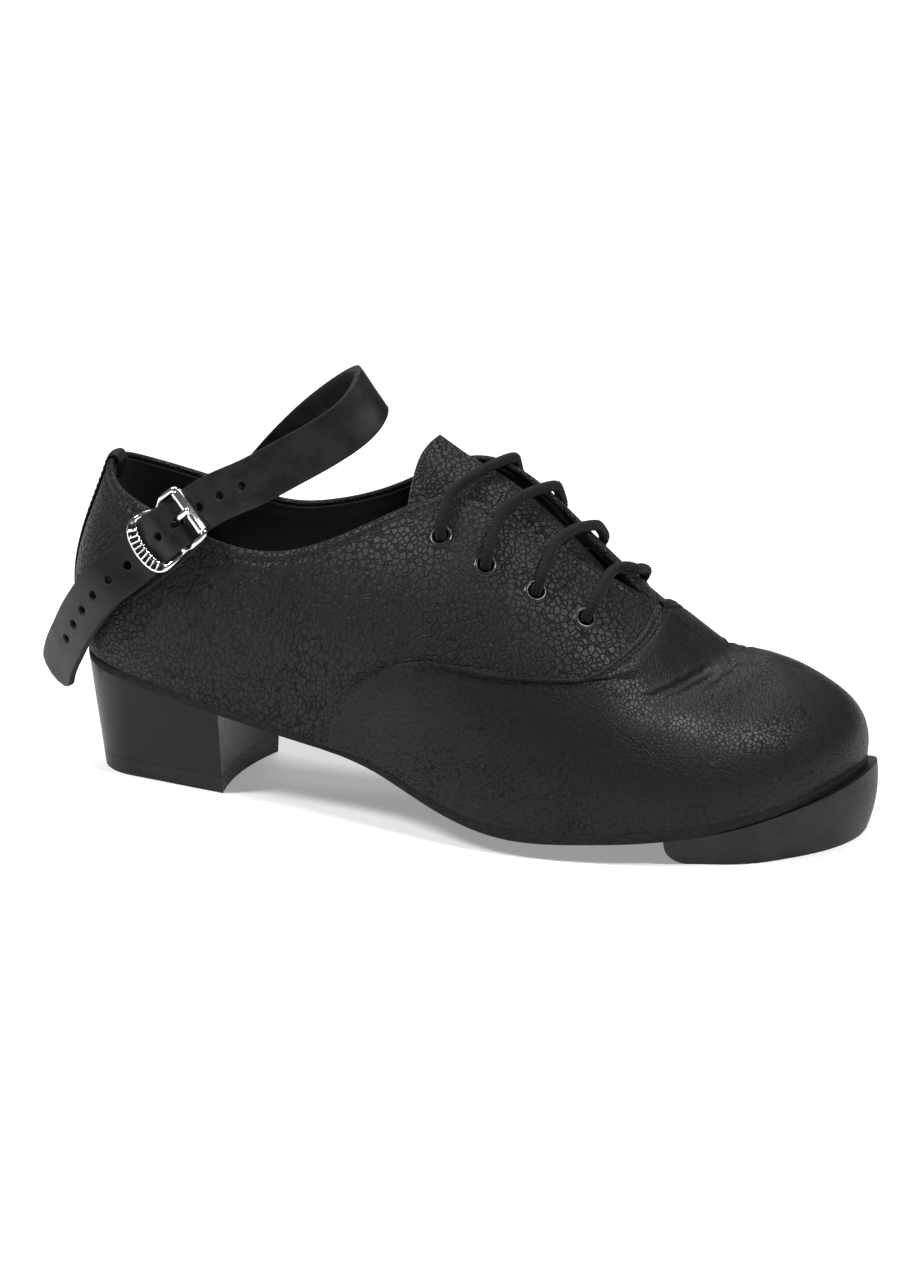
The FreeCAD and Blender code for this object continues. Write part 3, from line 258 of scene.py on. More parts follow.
class Look:
    """A material and short calls that add nodes to it."""

    def __init__(self, name, **plain):
        self.material = bpy.data.materials.new(name)
        self.material.use_nodes = True
        self.tree = self.material.node_tree
        self.shader = self.tree.nodes["Principled BSDF"]
        for key, value in plain.items():
            self.shader.inputs[key.replace("_", " ")].default_value = value
        self.place = self.node("ShaderNodeTexCoord").outputs["Object"]

    def put(self, socket, value):
        if isinstance(value, bpy.types.NodeSocket):
            self.tree.links.new(value, socket)
        else:
            socket.default_value = value

    def node(self, kind, settings=None, **inputs):
        """New node; an input is given by its name, or by its number as i0, i1 and so on."""
        made = self.tree.nodes.new(kind)
        for key, value in (settings or {}).items():
            setattr(made, key, value)
        for key, value in inputs.items():
            index = int(key[1:]) if key[1:].isdigit() else key.replace("_", " ")
            self.put(made.inputs[index], value)
        return made

    def stretched(self, scale):
        return self.node("ShaderNodeMapping", Vector=self.place, Scale=scale).outputs[0]

    def noise(self, where, scale, detail=4.0, rough=0.5):
        made = self.node("ShaderNodeTexNoise", Vector=where, Scale=scale, Detail=detail, Roughness=rough)
        return made.outputs["Fac"]

    def vector(self, operation, **inputs):
        return self.node("ShaderNodeVectorMath", {"operation": operation}, **inputs).outputs[0]

    def wandered(self, where, scale, reach):
        """The place, moved about by up to the reach."""
        cloud = self.node("ShaderNodeTexNoise", Vector=where, Scale=scale, Detail=2.0).outputs["Color"]
        centred = self.vector("SUBTRACT", i0=cloud, i1=(0.5, 0.5, 0.5))
        return self.vector("ADD", i0=where, i1=self.vector("SCALE", i0=centred, i3=reach))

    def cells(self, where, scale, feature="DISTANCE_TO_EDGE"):
        made = self.node("ShaderNodeTexVoronoi", {"feature": feature}, Vector=where, Scale=scale)
        return made.outputs["Distance"]

    def math(self, operation, first, second):
        return self.node("ShaderNodeMath", {"operation": operation}, i0=first, i1=second).outputs[0]

    def plus(self, first, second, weight):
        """The first value and a weighted second one."""
        return self.math("ADD", first, self.math("MULTIPLY", second, weight))

    def spread(self, value, low, high, to_low=0.0, to_high=1.0):
        inputs = {"i0": value, "i1": low, "i2": high, "i3": to_low, "i4": to_high}
        return self.node("ShaderNodeMapRange", {"interpolation_type": "SMOOTHSTEP"}, **inputs).outputs[0]

    def blend(self, share, dark, light):
        return self.node("ShaderNodeMix", {"data_type": "RGBA"}, i0=share, i6=dark, i7=light).outputs[2]

    def finish(self, colour, roughness, height=None, strength=0.0, distance=0.0):
        """Puts the colour, the roughness and, where there is a height, the bump on; returns the material."""
        self.put(self.shader.inputs["Base Color"], colour)
        self.put(self.shader.inputs["Roughness"], roughness)
        if height is not None:
            bump = self.node("ShaderNodeBump", Height=height, Strength=strength, Distance=distance)
            self.put(self.shader.inputs["Normal"], bump.outputs[0])
        return self.material


def grey(value, warmth=0.0):
    return (value * (1 + warmth), value, value * (1 - warmth), 1.0)


def fine(name, noise, dark, light, matt, bump=(), stretch=(1, 1, 1), edges=(0.3, 0.7), **plain):
    """Material whose colour, roughness and bump follow one noise of (scale, detail, roughness)."""
    look = Look(name, **plain)
    fleck = look.noise(look.stretched(stretch), *noise)
    matted = look.spread(fleck, *edges, *matt)
    return look.finish(look.blend(fleck, dark, light), matted, fleck if bump else None, *bump)


def leather(name, tone, gloss, cell, depth, stretch=(1, 1, 1), patchy=0.5):
    """Grained leather: pebbles of the cell size in metres, with finer wrinkles between them; the colour carries
    painted shade, nearly black in the valleys between pebbles.
    """
    look = Look(name, Specular_IOR_Level=0.20)
    where = look.stretched(stretch)
    pebble = look.spread(look.cells(look.wandered(where, 0.30 / cell, 0.55 * cell), 1 / cell), 0.0, 0.15)
    small = look.spread(look.cells(look.wandered(where, 1 / cell, 0.4 * cell), 2.2 / cell), 0.0, 0.22)
    patch = look.spread(look.noise(look.place, 30.0, 2.0), 0.35, 0.65, 1 - patchy, 1.0)
    pore = look.noise(where, 6 / cell, 3.0, 0.6)
    height = look.plus(look.math("MULTIPLY", look.plus(pebble, small, 0.12), patch), pore, 0.04)
    # grain marks the valleys between pebbles: it roughens them, and the colour blend below paints shade into
    # them, darkening them to nearly black.
    grain = look.math("MULTIPLY", look.math("SUBTRACT", 1.0, pebble), patch)
    colour = look.blend(grain, grey(tone * 1.5, 0.01), grey(tone * 0.08))
    shine = look.spread(look.noise(look.place, 60.0, 3.0), 0.3, 0.7, gloss - 0.04, gloss + 0.05)
    return look.finish(colour, look.plus(shine, grain, 0.35), height, depth, cell * 0.35)


def suede(name, tone):
    look = Look(name, Specular_IOR_Level=0.1, Sheen_Weight=0.04, Sheen_Roughness=0.6)
    nap = look.noise(look.place, 2600.0, 3.0, 0.7)
    colour = look.blend(look.noise(look.place, 90.0, 3.0), grey(tone * 0.6), grey(tone * 1.3))
    return look.finish(colour, look.spread(nap, 0.2, 0.8, 0.85, 1.0), nap, 0.5, 0.0002)


def cut_leather(name, tone, stretch=(1, 1, 1)):
    """Fibrous cut edge of thick leather."""
    look = Look(name, Specular_IOR_Level=0.25)
    fibre = look.noise(look.stretched(stretch), 900.0, 5.0, 0.7)
    fuzz = look.noise(look.place, 2500.0, 3.0, 0.7)
    colour = look.blend(look.spread(fibre, 0.35, 0.7), grey(tone * 0.35), grey(tone * 1.2, 0.04))
    matted = look.spread(fuzz, 0.3, 0.7, 0.72, 0.95)
    return look.finish(colour, matted, look.plus(fibre, fuzz, 0.5), 0.9, 0.0004)


def strap_hide(name, tone, gloss):
    """Smooth finished strap leather with fine pores and a few rubbed patches."""
    look = Look(name, Specular_IOR_Level=0.25)
    pore = look.spread(look.cells(look.place, 2600.0, "F1"), 0.1, 0.5)
    cloud = look.noise(look.place, 140.0, 4.0, 0.6)
    line = look.noise(look.stretched((1.0, 1.0, 0.25)), 500.0, 4.0, 0.6)
    height = look.plus(look.math("MULTIPLY", pore, 0.35), line, 0.6)
    colour = look.blend(look.spread(cloud, 0.3, 0.75), grey(tone * 0.75), grey(tone * 1.25, 0.02))
    return look.finish(colour, look.spread(cloud, 0.3, 0.7, gloss - 0.08, gloss + 0.08), height, 0.35, 0.00015)


def chrome(name, tone):
    return fine(name, (700.0, 4.0, 0.6), grey(tone * 0.79, -0.02), grey(tone * 0.91, -0.02), (0.07, 0.15),
                (0.05, 0.0001), edges=(0.35, 0.7), Metallic=1.0)


def satin_heel(name):
    """Stacked heel under a dark satin finish, with faint layer lines."""
    look = Look(name, Coat_Weight=0.04, Coat_Roughness=0.25, Specular_IOR_Level=0.18)
    layer_lines = look.noise(look.stretched((0.12, 0.12, 1.0)), 420.0, 3.0, 0.5)
    dust = look.noise(look.place, 1500.0, 3.0, 0.6)
    height = look.plus(look.noise(look.place, 55.0, 2.0), layer_lines, 0.25)
    colour = look.blend(dust, grey(0.004), grey(0.010))
    return look.finish(colour, look.spread(dust, 0.35, 0.75, 0.30, 0.44), height, 0.12, 0.0006)


def moulded(name, tone, gloss, grain, stretch, depth=0.4):
    """Matt moulded or cut material with a directional grain."""
    look = Look(name, Specular_IOR_Level=0.25)
    streak = look.noise(look.stretched(stretch), grain, 5.0, 0.65)
    cloud = look.spread(look.noise(look.place, 90.0, 3.0), 0.3, 0.7)
    height = look.plus(streak, look.noise(look.place, 3000.0, 2.0), 0.35)
    colour = look.blend(cloud, grey(tone * 0.7), grey(tone * 1.25, 0.02))
    return look.finish(colour, look.spread(streak, 0.3, 0.7, gloss - 0.07, gloss + 0.09), height, depth, 0.0003)


def board(name, dark, light, grain):
    look = Look(name, Specular_IOR_Level=0.2)
    fleck = look.noise(look.place, grain, 5.0, 0.7)
    colour = look.blend(look.spread(fleck, 0.35, 0.65), dark, light)
    return look.finish(colour, look.spread(fleck, 0.3, 0.7, 0.75, 0.95), fleck, 0.5, 0.0003)


LEATHER = leather("quarter_leather", 0.0062, 0.43, 0.0019, 0.60, (1.0, 1.0, 0.85), 0.30)
VAMP_LEATHER = leather("vamp_leather", 0.0042, 0.41, 0.0013, 0.32, (1.0, 1.0, 0.85), 0.45)
TONGUE_LEATHER = leather("tongue_leather", 0.0065, 0.36, 0.0020, 1.0)
TRIM_LEATHER = leather("trim_leather", 0.004, 0.40, 0.0012, 0.60)
LINING = suede("lining_suede", 0.004)
RAW_EDGE = cut_leather("raw_edge", 0.10)
STRAP_HIDE = strap_hide("strap_hide", 0.008, 0.42)
STRAP_EDGE = cut_leather("strap_edge", 0.028, (1, 1, 2.5))
SOLE_EDGE = cut_leather("sole_edge", 0.010, (0.4, 0.4, 2.5))
THREAD = fine("thread", (5200.0, 2.0, 0.5), grey(0.005), grey(0.015), (0.6, 0.9), (0.6, 0.0001),
              Specular_IOR_Level=0.3, Sheen_Weight=0.15)
LACE_BRAID = fine("lace_braid", (3800.0, 4.0, 0.7), grey(0.002), grey(0.0064), (0.75, 0.95), (0.7, 0.0002),
                  Specular_IOR_Level=0.15, Sheen_Weight=0.04, Sheen_Roughness=0.5)
CHROME = chrome("buckle_chrome", 1.0)
# A darker copy of the chrome: painted shade for the sunk band of the buckle's keeper.
CHROME_PAINTED_SHADE = chrome("buckle_painted_shade", 0.16)
HEEL_SATIN = satin_heel("heel_gloss")
HEEL_TIP = moulded("heel_tip_rubber", 0.006, 0.44, 1400.0, (0.3, 0.3, 1.0))
TOE_BLOCK = moulded("toe_fibreglass", 0.011, 0.50, 1500.0, (0.25, 0.25, 2.0), 0.5)
ENAMEL = fine("eyelet_enamel", (1200.0, 4.0, 0.6), grey(0.006), grey(0.016), (0.22, 0.4), (0.1, 0.0001),
              Specular_IOR_Level=0.35, Coat_Weight=0.1, Coat_Roughness=0.2)
BOARD = board("insole_board", (0.30, 0.22, 0.13, 1), (0.50, 0.40, 0.27, 1), 900.0)
CORK = board("cork", (0.25, 0.15, 0.08, 1), (0.55, 0.38, 0.22, 1), 420.0)
STEEL = fine("spring_steel", (2500.0, 4.0, 0.6), grey(0.42), grey(0.56), (0.25, 0.4),
             stretch=(0.1, 1, 1), Metallic=1.0)


# ---- mesh helpers

def add_mesh(name, points, faces, materials, body, rim=None):
    """Object from points in millimetres and faces, riding on a body. rim marks faces of the 2nd material."""
    mesh = bpy.data.meshes.new(name)
    mesh.from_pydata(points * MM, [], faces)
    for material in materials:
        mesh.materials.append(material)
    mesh.polygons.foreach_set("use_smooth", [True] * len(mesh.polygons))
    if rim is not None:
        mesh.polygons.foreach_set("material_index", np.asarray(rim, int))
    work = bmesh.new()
    work.from_mesh(mesh)
    bmesh.ops.remove_doubles(work, verts=work.verts, dist=0.002 * MM)
    bmesh.ops.delete(work, geom=[v for v in work.verts if not v.link_faces], context="VERTS")
    bmesh.ops.recalc_face_normals(work, faces=work.faces)
    work.to_mesh(mesh)
    work.free()
    made = bpy.data.objects.new(name, mesh)
    scene.collection.objects.link(made)
    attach(made, body)
    return made


def grid_quads(rows, columns, closed=False, looped=False):
    """Faces of a grid of points; closed joins the last column to the first, looped the last row."""
    index = np.arange(rows * columns).reshape(rows, columns)
    if looped:
        index = np.vstack([index, index[:1]])
    if closed:
        index = np.hstack([index, index[:, :1]])
    return np.stack([index[:-1, :-1], index[:-1, 1:], index[1:, 1:], index[1:, :-1]], -1).reshape(-1, 4)


def ring_angles(sides):
    return np.arange(sides) * 2 * math.pi / sides


def spokes(first, second, turn):
    """Directions at some angles, turned from the first direction towards the second."""
    return np.cos(turn)[:, None] * first[..., None, :] + np.sin(turn)[:, None] * second[..., None, :]


def thicken(outer, inner, quads, bulge, square=1.0, steps=4):
    """Closed shell between two copies of a mesh; the rim bows out by the bulge.

    Returns points, faces and a mark for each face of the rim."""
    outer, inner = outer.reshape(-1, 3), inner.reshape(-1, 3)
    count = len(outer)
    edges = np.concatenate([quads[:, [i, (i + 1) % 4]] for i in range(4)])
    owners = np.tile(np.arange(len(quads)), 4)
    keys = edges[:, 0] * count + edges[:, 1]
    twins = edges[:, 1] * count + edges[:, 0]
    free = ~np.isin(keys, twins)
    edges, owners = edges[free], owners[free]
    centres = outer[quads].mean(1)
    away = np.zeros_like(outer)
    mids = (outer[edges[:, 0]] + outer[edges[:, 1]]) / 2
    for k in (0, 1):
        np.add.at(away, edges[:, k], unit(mids - centres[owners]))
    border = np.unique(edges)
    place = np.full(count, -1)
    place[border] = np.arange(len(border))
    axis = (outer[border] - inner[border]) / 2
    middle = (outer[border] + inner[border]) / 2
    way = away[border]
    across = unit(axis)
    way = unit(way - across * (way * across).sum(-1, keepdims=True))
    layers = [border]
    points = [outer, inner]
    for step in range(1, steps + 1):
        angle = math.pi * step / (steps + 1)
        cosine = math.copysign(abs(math.cos(angle)) ** square, math.cos(angle))
        points.append(middle + axis * cosine + way * bulge * math.sin(angle) ** square)
        layers.append(2 * count + (step - 1) * len(border) + np.arange(len(border)))
    layers.append(border + count)
    faces = [quads, quads[:, ::-1] + count]
    marks = [np.zeros(2 * len(quads), int)]
    a, b = place[edges[:, 0]], place[edges[:, 1]]
    for upper, lower in zip(layers, layers[1:]):
        faces.append(np.stack([upper[b], upper[a], lower[a], lower[b]], -1))
        marks.append(np.ones(len(edges), int))
    return np.vstack(points), np.vstack(faces), np.concatenate(marks)


def add_shell(name, outer, inner, quads, bulge, materials, slot, body="shoe", **rim_shape):
    """Piece made by thicken; a second material goes on its rim."""
    points, faces, rim = thicken(outer, inner, quads, bulge, **rim_shape)
    return add_mesh(name, points, faces, materials, body, rim if len(materials) > 1 else None)


def run_along(path):
    """Distance from the start of a line, or of every row of a grid, to each of its points."""
    steps = np.linalg.norm(np.diff(path, axis=-2), axis=-1)
    return np.concatenate([np.zeros((*steps.shape[:-1], 1)), np.cumsum(steps, axis=-1)], axis=-1)


def row_places(path, wanted):
    """Shares along each row of points that lie at the wanted distances from its start."""
    shares = np.linspace(0, 1, path.shape[1])
    return np.array([np.interp(want, way, shares) for want, way in zip(wanted, run_along(path))])


def even_shares(points, count):
    """Shares of a curve's parameter that space count points evenly along it."""
    run = run_along(points)
    return np.interp(np.linspace(0, run[-1], count), run, np.linspace(0, 1, len(points)))


def read_line(line, run, wanted):
    """Points or directions of a line at the wanted distances along it."""
    return np.stack([np.interp(wanted, run, line[:, k]) for k in range(3)], -1)


def punch(grids, quads, axes, radius, depth=6.0, pull=1.8):
    """Cuts round holes through a panel: drops the cells near each axis and rounds the edge they leave."""
    centres = grids[0].reshape(-1, 3)[quads].mean(1)
    dropped = np.zeros(len(quads), bool)
    for base, way in axes:
        offset = centres - base
        along_axis = offset @ way
        reach = np.linalg.norm(offset - along_axis[:, None] * way, axis=-1)
        dropped |= (reach < radius) & (np.abs(along_axis) < depth)
    ring = np.intersect1d(quads[dropped], quads[~dropped])
    for grid in grids:
        flat = grid.reshape(-1, 3)
        for base, way in axes:
            offset = flat[ring] - base
            along_axis = (offset @ way)[:, None] * way
            side = offset - along_axis
            reach = np.linalg.norm(side, axis=-1)
            near = reach < radius * pull
            flat[ring[near]] = base + along_axis[near] + side[near] / reach[near, None] * radius
    return quads[~dropped]


# ---- stitches

STITCH_SIDES, STITCH_RINGS = 6, 5


def stitch_points(line, normals, pitch, length, radius, lift):
    """Points of a row of stitches laid along a line on a surface; their ends dip into it."""
    run = run_along(line)
    count = max(int(run[-1] / pitch), 1)
    centres = (np.arange(count) + 0.5) * run[-1] / count
    ahead = unit(read_line(line, run, centres + 0.3) - read_line(line, run, centres - 0.3))
    up = unit(read_line(normals, run, centres))
    side = unit(np.cross(up, ahead))
    middle, ahead, side, up = (a[:, None, None] for a in (read_line(line, run, centres), ahead, side, up))
    x = np.linspace(-1, 1, STITCH_RINGS)[:, None, None]
    turn = ring_angles(STITCH_SIDES)[:, None]
    thin = np.sqrt(1 - 0.93 * x ** 4) * radius
    rise = thin * np.sin(turn) + lift - x ** 2 * (lift + radius * 0.7)
    rings = middle + x * length / 2 * ahead + thin * np.cos(turn) * side + rise * up
    return rings.reshape(count, -1, 3)


def stitches(name, rows, body="shoe", pitch=2.35, length=2.0, radius=0.24, lift=0.14):
    """All stitches of some rows as one piece. Each row is a line and the surface normals along it."""
    blocks = np.vstack([stitch_points(line, normals, pitch, length, radius, lift) for line, normals in rows])
    first = np.arange(STITCH_SIDES)
    last = first[::-1] + (STITCH_RINGS - 1) * STITCH_SIDES
    caps = [ring[[0, i, i + 1, i + 2]] for ring in (first, last) for i in (1, 3)]
    per = np.vstack([grid_quads(STITCH_RINGS, STITCH_SIDES, closed=True), caps])
    size = STITCH_SIDES * STITCH_RINGS
    faces = (per[None] + (np.arange(len(blocks)) * size)[:, None, None]).reshape(-1, 4)
    return add_mesh(name, blocks.reshape(-1, 3), faces, [THREAD], body)


# ---- vamp

EDGE_STEPS = [0, 0.25, 0.55, 0.9, 1.3, 1.7, 2.0, 2.3, 2.6, 3.0, 3.5, 3.8, 4.1, 4.4, 4.9, 5.6, 6.5, 7.6, 8.8, 10]
STITCH_ROWS = (2.3, 4.1)
SEAM_LIFT = 1.15


def centre_line(a):
    """Down the middle of the toe front, then back along the ridge to the throat."""
    turn = 0.5
    v = np.where(a < turn, 1.0, lerp(1.0, THROAT + 0.004, (a - turn) / (1 - turn)))
    return v, np.where(a < turn, a / turn, 1.0)


# Creases across the vamp where the shoe bends: depth, width and places from the ridge down one side.
CREASES = [
    (-1, 1.1, 5.0, [(0.785, 1.0), (0.768, 0.91), (0.752, 0.79), (0.735, 0.69), (0.718, 0.60), (0.700, 0.53)]),
    (-1, 0.75, 0.8, [(0.762, 0.87), (0.750, 0.785), (0.737, 0.70), (0.722, 0.62), (0.705, 0.555)]),
    (-1, 0.55, 0.7, [(0.770, 0.80), (0.757, 0.72), (0.740, 0.64), (0.722, 0.575), (0.708, 0.535)]),
    (-1, 0.45, 0.7, [(0.800, 0.97), (0.792, 0.86), (0.778, 0.75), (0.768, 0.66)]),
    (-1, 0.35, 0.6, [(0.815, 1.0), (0.800, 0.90), (0.790, 0.80)]),
    (-1, 0.35, 0.6, [(0.775, 1.0), (0.785, 0.93), (0.782, 0.85)]),
    (-1, 0.30, 0.7, [(0.722, 0.60), (0.712, 0.50), (0.706, 0.42)]),
    (1, 0.9, 5.0, [(0.785, 1.0), (0.772, 0.90), (0.758, 0.79), (0.745, 0.68), (0.735, 0.58)]),
    (1, 0.6, 0.8, [(0.770, 0.93), (0.758, 0.83), (0.748, 0.73), (0.740, 0.64)]),
    (1, 0.4, 0.7, [(0.795, 0.92), (0.782, 0.80), (0.772, 0.70)]),
]


def crease_depth(points):
    """How far the vamp leather folds in at each point."""
    sunk = np.zeros(len(points))
    count = 80
    step = np.arange(count)
    wobble = np.sin(step * 0.9) * 0.35 + np.sin(step * 0.37 + 2) * 0.5
    for side, depth, width, places in CREASES:
        v, t = Spline(np.linspace(0, 1, len(places)), places)(np.linspace(0, 1, count)).T
        line = skin(side_place(side, v), np.minimum(t, 1.0))
        line = line + np.array([1.0, 0, 0]) * (wobble * min(width, 1.2))[:, None]
        gap = np.linalg.norm(points[:, None, :] - line[None], axis=-1)
        reach = gap.min(1)
        taper = np.sin(np.pi * np.clip((gap.argmin(1) + 6) / (count + 12), 0, 1)) ** 0.6
        valley = hump(reach, 0, width) - 0.30 * hump(reach, 2.1 * width, 0.9 * width)
        sunk += depth * valley * taper
    return sunk


def vamp_places(rows=130, far=78):
    """Places of the vamp's columns for each side and their distance from the seam."""
    seam = seam_curve(np.linspace(0, 1, 900) * 0.985)
    seam_line = skin_point(seam[:, 0] / 2, np.clip(seam[:, 1], 0, 1))
    shares = even_shares(seam_line, rows) * 0.985
    edge = seam_curve(shares)
    mid_v, mid_t = centre_line(shares)

    def place(b):
        return lerp(edge[:, :1], mid_v[:, None], b), lerp(edge[:, 1:], mid_t[:, None], b)

    sides = {}
    for side, _ in SIDES:
        v, t = place(np.linspace(0, 1, 400))
        path = skin_point(side_place(side, v), np.maximum(t, 0.0))
        length = run_along(path)[:, -1:]
        near = np.array(EDGE_STEPS) * np.minimum(1, length / 24)
        rest = lerp(near[:, -1:], length, np.linspace(0, 1, far)[1:])
        wanted = np.hstack([near, rest])
        v, t = place(row_places(path, wanted))
        sides[side] = (side_place(side, v), np.clip(t, 0.0, 1.0), wanted)
    return sides


def vamp_out(distance):
    """Height of the vamp's outer face over the upper's line: it lies on the quarters along the seam."""
    lift = SEAM_LIFT * np.exp(-(np.maximum(distance - 4.5, 0) / 8.0) ** 2)
    fold = 0.22 * hump(distance, 1.1, 0.8)
    grooves = sum(hump(distance, row, 0.42) for row in STITCH_ROWS)
    return lift + fold - 0.34 * grooves + 0.1 * hump(distance, 3.2, 0.5)


def make_vamp():
    sides = vamp_places()
    s, t, distance = (np.hstack([lateral, medial[:, -2::-1]]) for lateral, medial in zip(sides[-1], sides[1]))
    base, normal = skin_point(s, t), skin_normal(s, t)
    sunk = crease_depth(base.reshape(-1, 3)).reshape(s.shape) * smooth(distance, 5, 9)
    out = vamp_out(distance) - sunk
    under = np.minimum(out - 1.0, lerp(0.08, -1.4, smooth(distance, 2.8, 6.0)) - np.maximum(sunk, 0))
    outer, inner = base + normal * out[..., None], base + normal * under[..., None]
    quads = grid_quads(*s.shape)
    piece = add_shell("vamp_shell", outer, inner, quads, 0.55, [VAMP_LEATHER], "upper_leather", steps=5)
    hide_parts("vamp")
    columns = [EDGE_STEPS.index(row) for row in STITCH_ROWS]
    columns += [-1 - column for column in columns]
    stitches("vamp_stitches", [(outer[2:, column], normal[2:, column]) for column in columns])


make_vamp()


# ---- quarters

TOP_STEPS = [0, 0.25, 0.6, 1.0, 1.5, 2.0, 2.5, 2.9, 3.2, 3.5, 3.9, 4.5, 5.3, 6.3]
TOP_STITCH = 3.2
EYELET_HOLE = 2.8
# How far the quarter runs on under the vamp, as a share of the way round.
UNDER_VAMP = 2.6 * 0.0042


def topline_out(depth):
    """Outer face of the quarter near its folded top edge, by the distance down from it."""
    return 0.28 * hump(depth, 1.3, 1.0) - 0.42 * hump(depth, TOP_STITCH, 0.5) + 0.08 * hump(depth, 4.4, 0.6)


def quarter_waves(s, t, side):
    """Slight hollows of the soft leather under the topline."""
    v = along(s)
    hollow = 0.7 * hump(v, 0.335, 0.018) * hump(t, 0.70, 0.2)
    fold = 0.5 * hump(v, 0.372, 0.02) * hump(t, 0.62, 0.22)
    return (fold - hollow) * (1.0 if side < 0 else 0.6)


def make_quarter(side, name, columns=250, far=92):
    """Quarter panel; returns the line of its topline stitches and the normals along it."""
    start = 0.0015
    b = np.linspace(0, 1, columns)[:, None]

    def place(a):
        seam = seam_curve(a)
        return lerp(start, seam[..., 0], b), np.clip(lerp(a, seam[..., 1], b), 0, 1)

    v, t = place(np.linspace(1, 0, 420))
    path = skin_point(side_place(side, v), t)
    rest = lerp(TOP_STEPS[-1], run_along(path)[:, -1:], np.linspace(0, 1, far)[1:])
    depth = np.hstack([np.tile(TOP_STEPS, (columns, 1)), rest])
    v, t = place(1 - row_places(path, depth))
    v = v + smooth(b, 0.985, 1.0) * UNDER_VAMP * smooth(depth, 0.0, 6.0)
    s = side_place(side, v)
    base, normal = skin_point(s, t), skin_normal(s, t)
    out = topline_out(depth) + quarter_waves(s, t, side)
    thick = lerp(2.0, 1.4, smooth(depth, 2.0, 9.0))
    outer = base + normal * out[..., None]
    inner = base + normal * (np.minimum(out, 0.1) - thick)[..., None]
    quads = punch([outer, inner], grid_quads(*s.shape), eyelet_axes(side), EYELET_HOLE)
    piece = add_shell(name + "_quarter_shell", outer, inner, quads, 0.75, [LEATHER], "upper_leather", steps=5)
    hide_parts(name + "_quarter")
    line = TOP_STEPS.index(TOP_STITCH)
    visible = slice(int(columns * 0.028), columns - 2)
    return outer[visible, line], normal[visible, line]


stitches("topline_stitches", [make_quarter(side, name) for side, name in SIDES], pitch=2.5)


# ---- linings

LINING_SEAM = (0.47, 0.667)
LINING_SEAM_BULGE = 0.07


def lining_seam(a):
    return lerp(LINING_SEAM[0], LINING_SEAM[1], a) + LINING_SEAM_BULGE * np.sin(np.pi * a)


def make_quarter_lining():
    rows = np.concatenate([np.linspace(0.01, 0.86, 50), np.linspace(0.87, 0.982, 22)])
    columns = np.linspace(-1, 1, 330)
    s = np.mod(lining_seam(rows)[:, None] / 2 * columns[None], 1.0)
    t = np.broadcast_to(rows[:, None], s.shape)
    base, normal = skin_point(s, t), skin_normal(s, t)
    face = lerp(-2.5, -2.15, smooth(t, 0.9, 0.98))
    outer, inner = base + normal * face[..., None], base + normal * (face - 0.9)[..., None]
    quads = grid_quads(*s.shape)
    for side, _ in SIDES:
        quads = punch([outer, inner], quads, eyelet_axes(side), EYELET_HOLE)
    piece = add_shell("quarter_lining_shell", outer, inner, quads, 0.4, [LINING], "lining_suede", steps=3)
    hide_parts("quarter_lining")


make_quarter_lining()


# ---- back strip

STRIP_TOP_WIDTH, STRIP_OUT, STRIP_IN = 0.0155, 0.35, -2.75


def make_back_strip():
    """Strip over the heel seam, folded over the topline and down inside it."""
    half = np.linspace(-1, 1, 15)

    def strip(rise, width, out):
        s = np.mod(half[None] * width / 2 + rise[:, None] * 0, 1.0)
        t = np.broadcast_to(rise[:, None], s.shape)
        return skin_point(s, t), skin_normal(s, t), skin(s, t, np.full(s.shape, out))

    rise = np.concatenate([np.linspace(0.012, 0.96, 60), np.linspace(0.967, 1.0, 8)])
    base, normal, outside = strip(rise, lerp(0.018, STRIP_TOP_WIDTH, rise)[:, None], STRIP_OUT)
    within = strip(np.linspace(1.0, 0.90, 9), STRIP_TOP_WIDTH, STRIP_IN - 0.45)[2]
    up = unit(base[-1] - base[-3])
    turn = np.linspace(0, math.pi, 9)[1:-1, None, None]
    over = base[-1] + normal[-1] * lerp(STRIP_OUT, STRIP_IN, (1 - np.cos(turn)) / 2) + up * 1.55 * np.sin(turn)
    middle = np.concatenate([outside, over, within])
    way = unit(np.cross(np.gradient(middle, axis=1), np.gradient(middle, axis=0)))
    outer, inner = middle + way * 0.65, middle - way * 0.1
    quads = grid_quads(*middle.shape[:2])
    piece = add_shell("back_strip_shell", outer, inner, quads, 0.3, [TRIM_LEATHER], "upper_leather",
                      square=0.6, steps=3)
    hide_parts("back_strip")
    rows = [(outer[3:66, column], way[3:66, column]) for column in (2, 12)]
    stitches("back_strip_stitches", rows, pitch=2.2, length=1.8, radius=0.2, lift=0.1)


make_back_strip()


# ---- sole and heel

def outline(s, inset):
    """Plan curve of the feather line, moved in by the inset (out when negative)."""
    way = foot_curve(s + 0.004) - foot_curve(s - 0.004)
    side = unit(np.stack([way[..., 1], -way[..., 0], np.zeros_like(way[..., 0])], -1))
    return foot_curve(s) - side * inset


def ragged(points, reach, size):
    """Uneven offsets from sums of sines of the points' own coordinates."""
    x, y, z = (points[..., k] / size for k in range(3))
    total = np.sin(x * 1.7 + np.sin(y * 1.3) * 2) + np.sin(y * 2.1 + z * 1.9 + np.sin(x * 0.9) * 2)
    return reach * (total + np.sin(z * 3.1 + x * 2.3 + 1.0)) / 3


# Edge of the sole from the ground up: how far it swells out, and its share of the thickness.
SOLE_PROFILE = [(0, 0.02), (0.10, 0.12), (0.22, 0.35), (0.28, 0.65), (0.24, 0.88), (0.06, 0.98), (-0.2, 1.0)]
SOLE_SHARES = [1.0, 0.75, 0.5, 0.3, 0.15, 0.06, 0.02]


def levelled(points, level):
    """Points moved to their height in the sole: level 0 is its lower face, 1 its upper one."""
    top = feather_height(points[:, 0]) - 0.1
    points[:, 2] = lerp(top - sole_thickness(points[:, 0]) + 0.1, top, level)
    return points


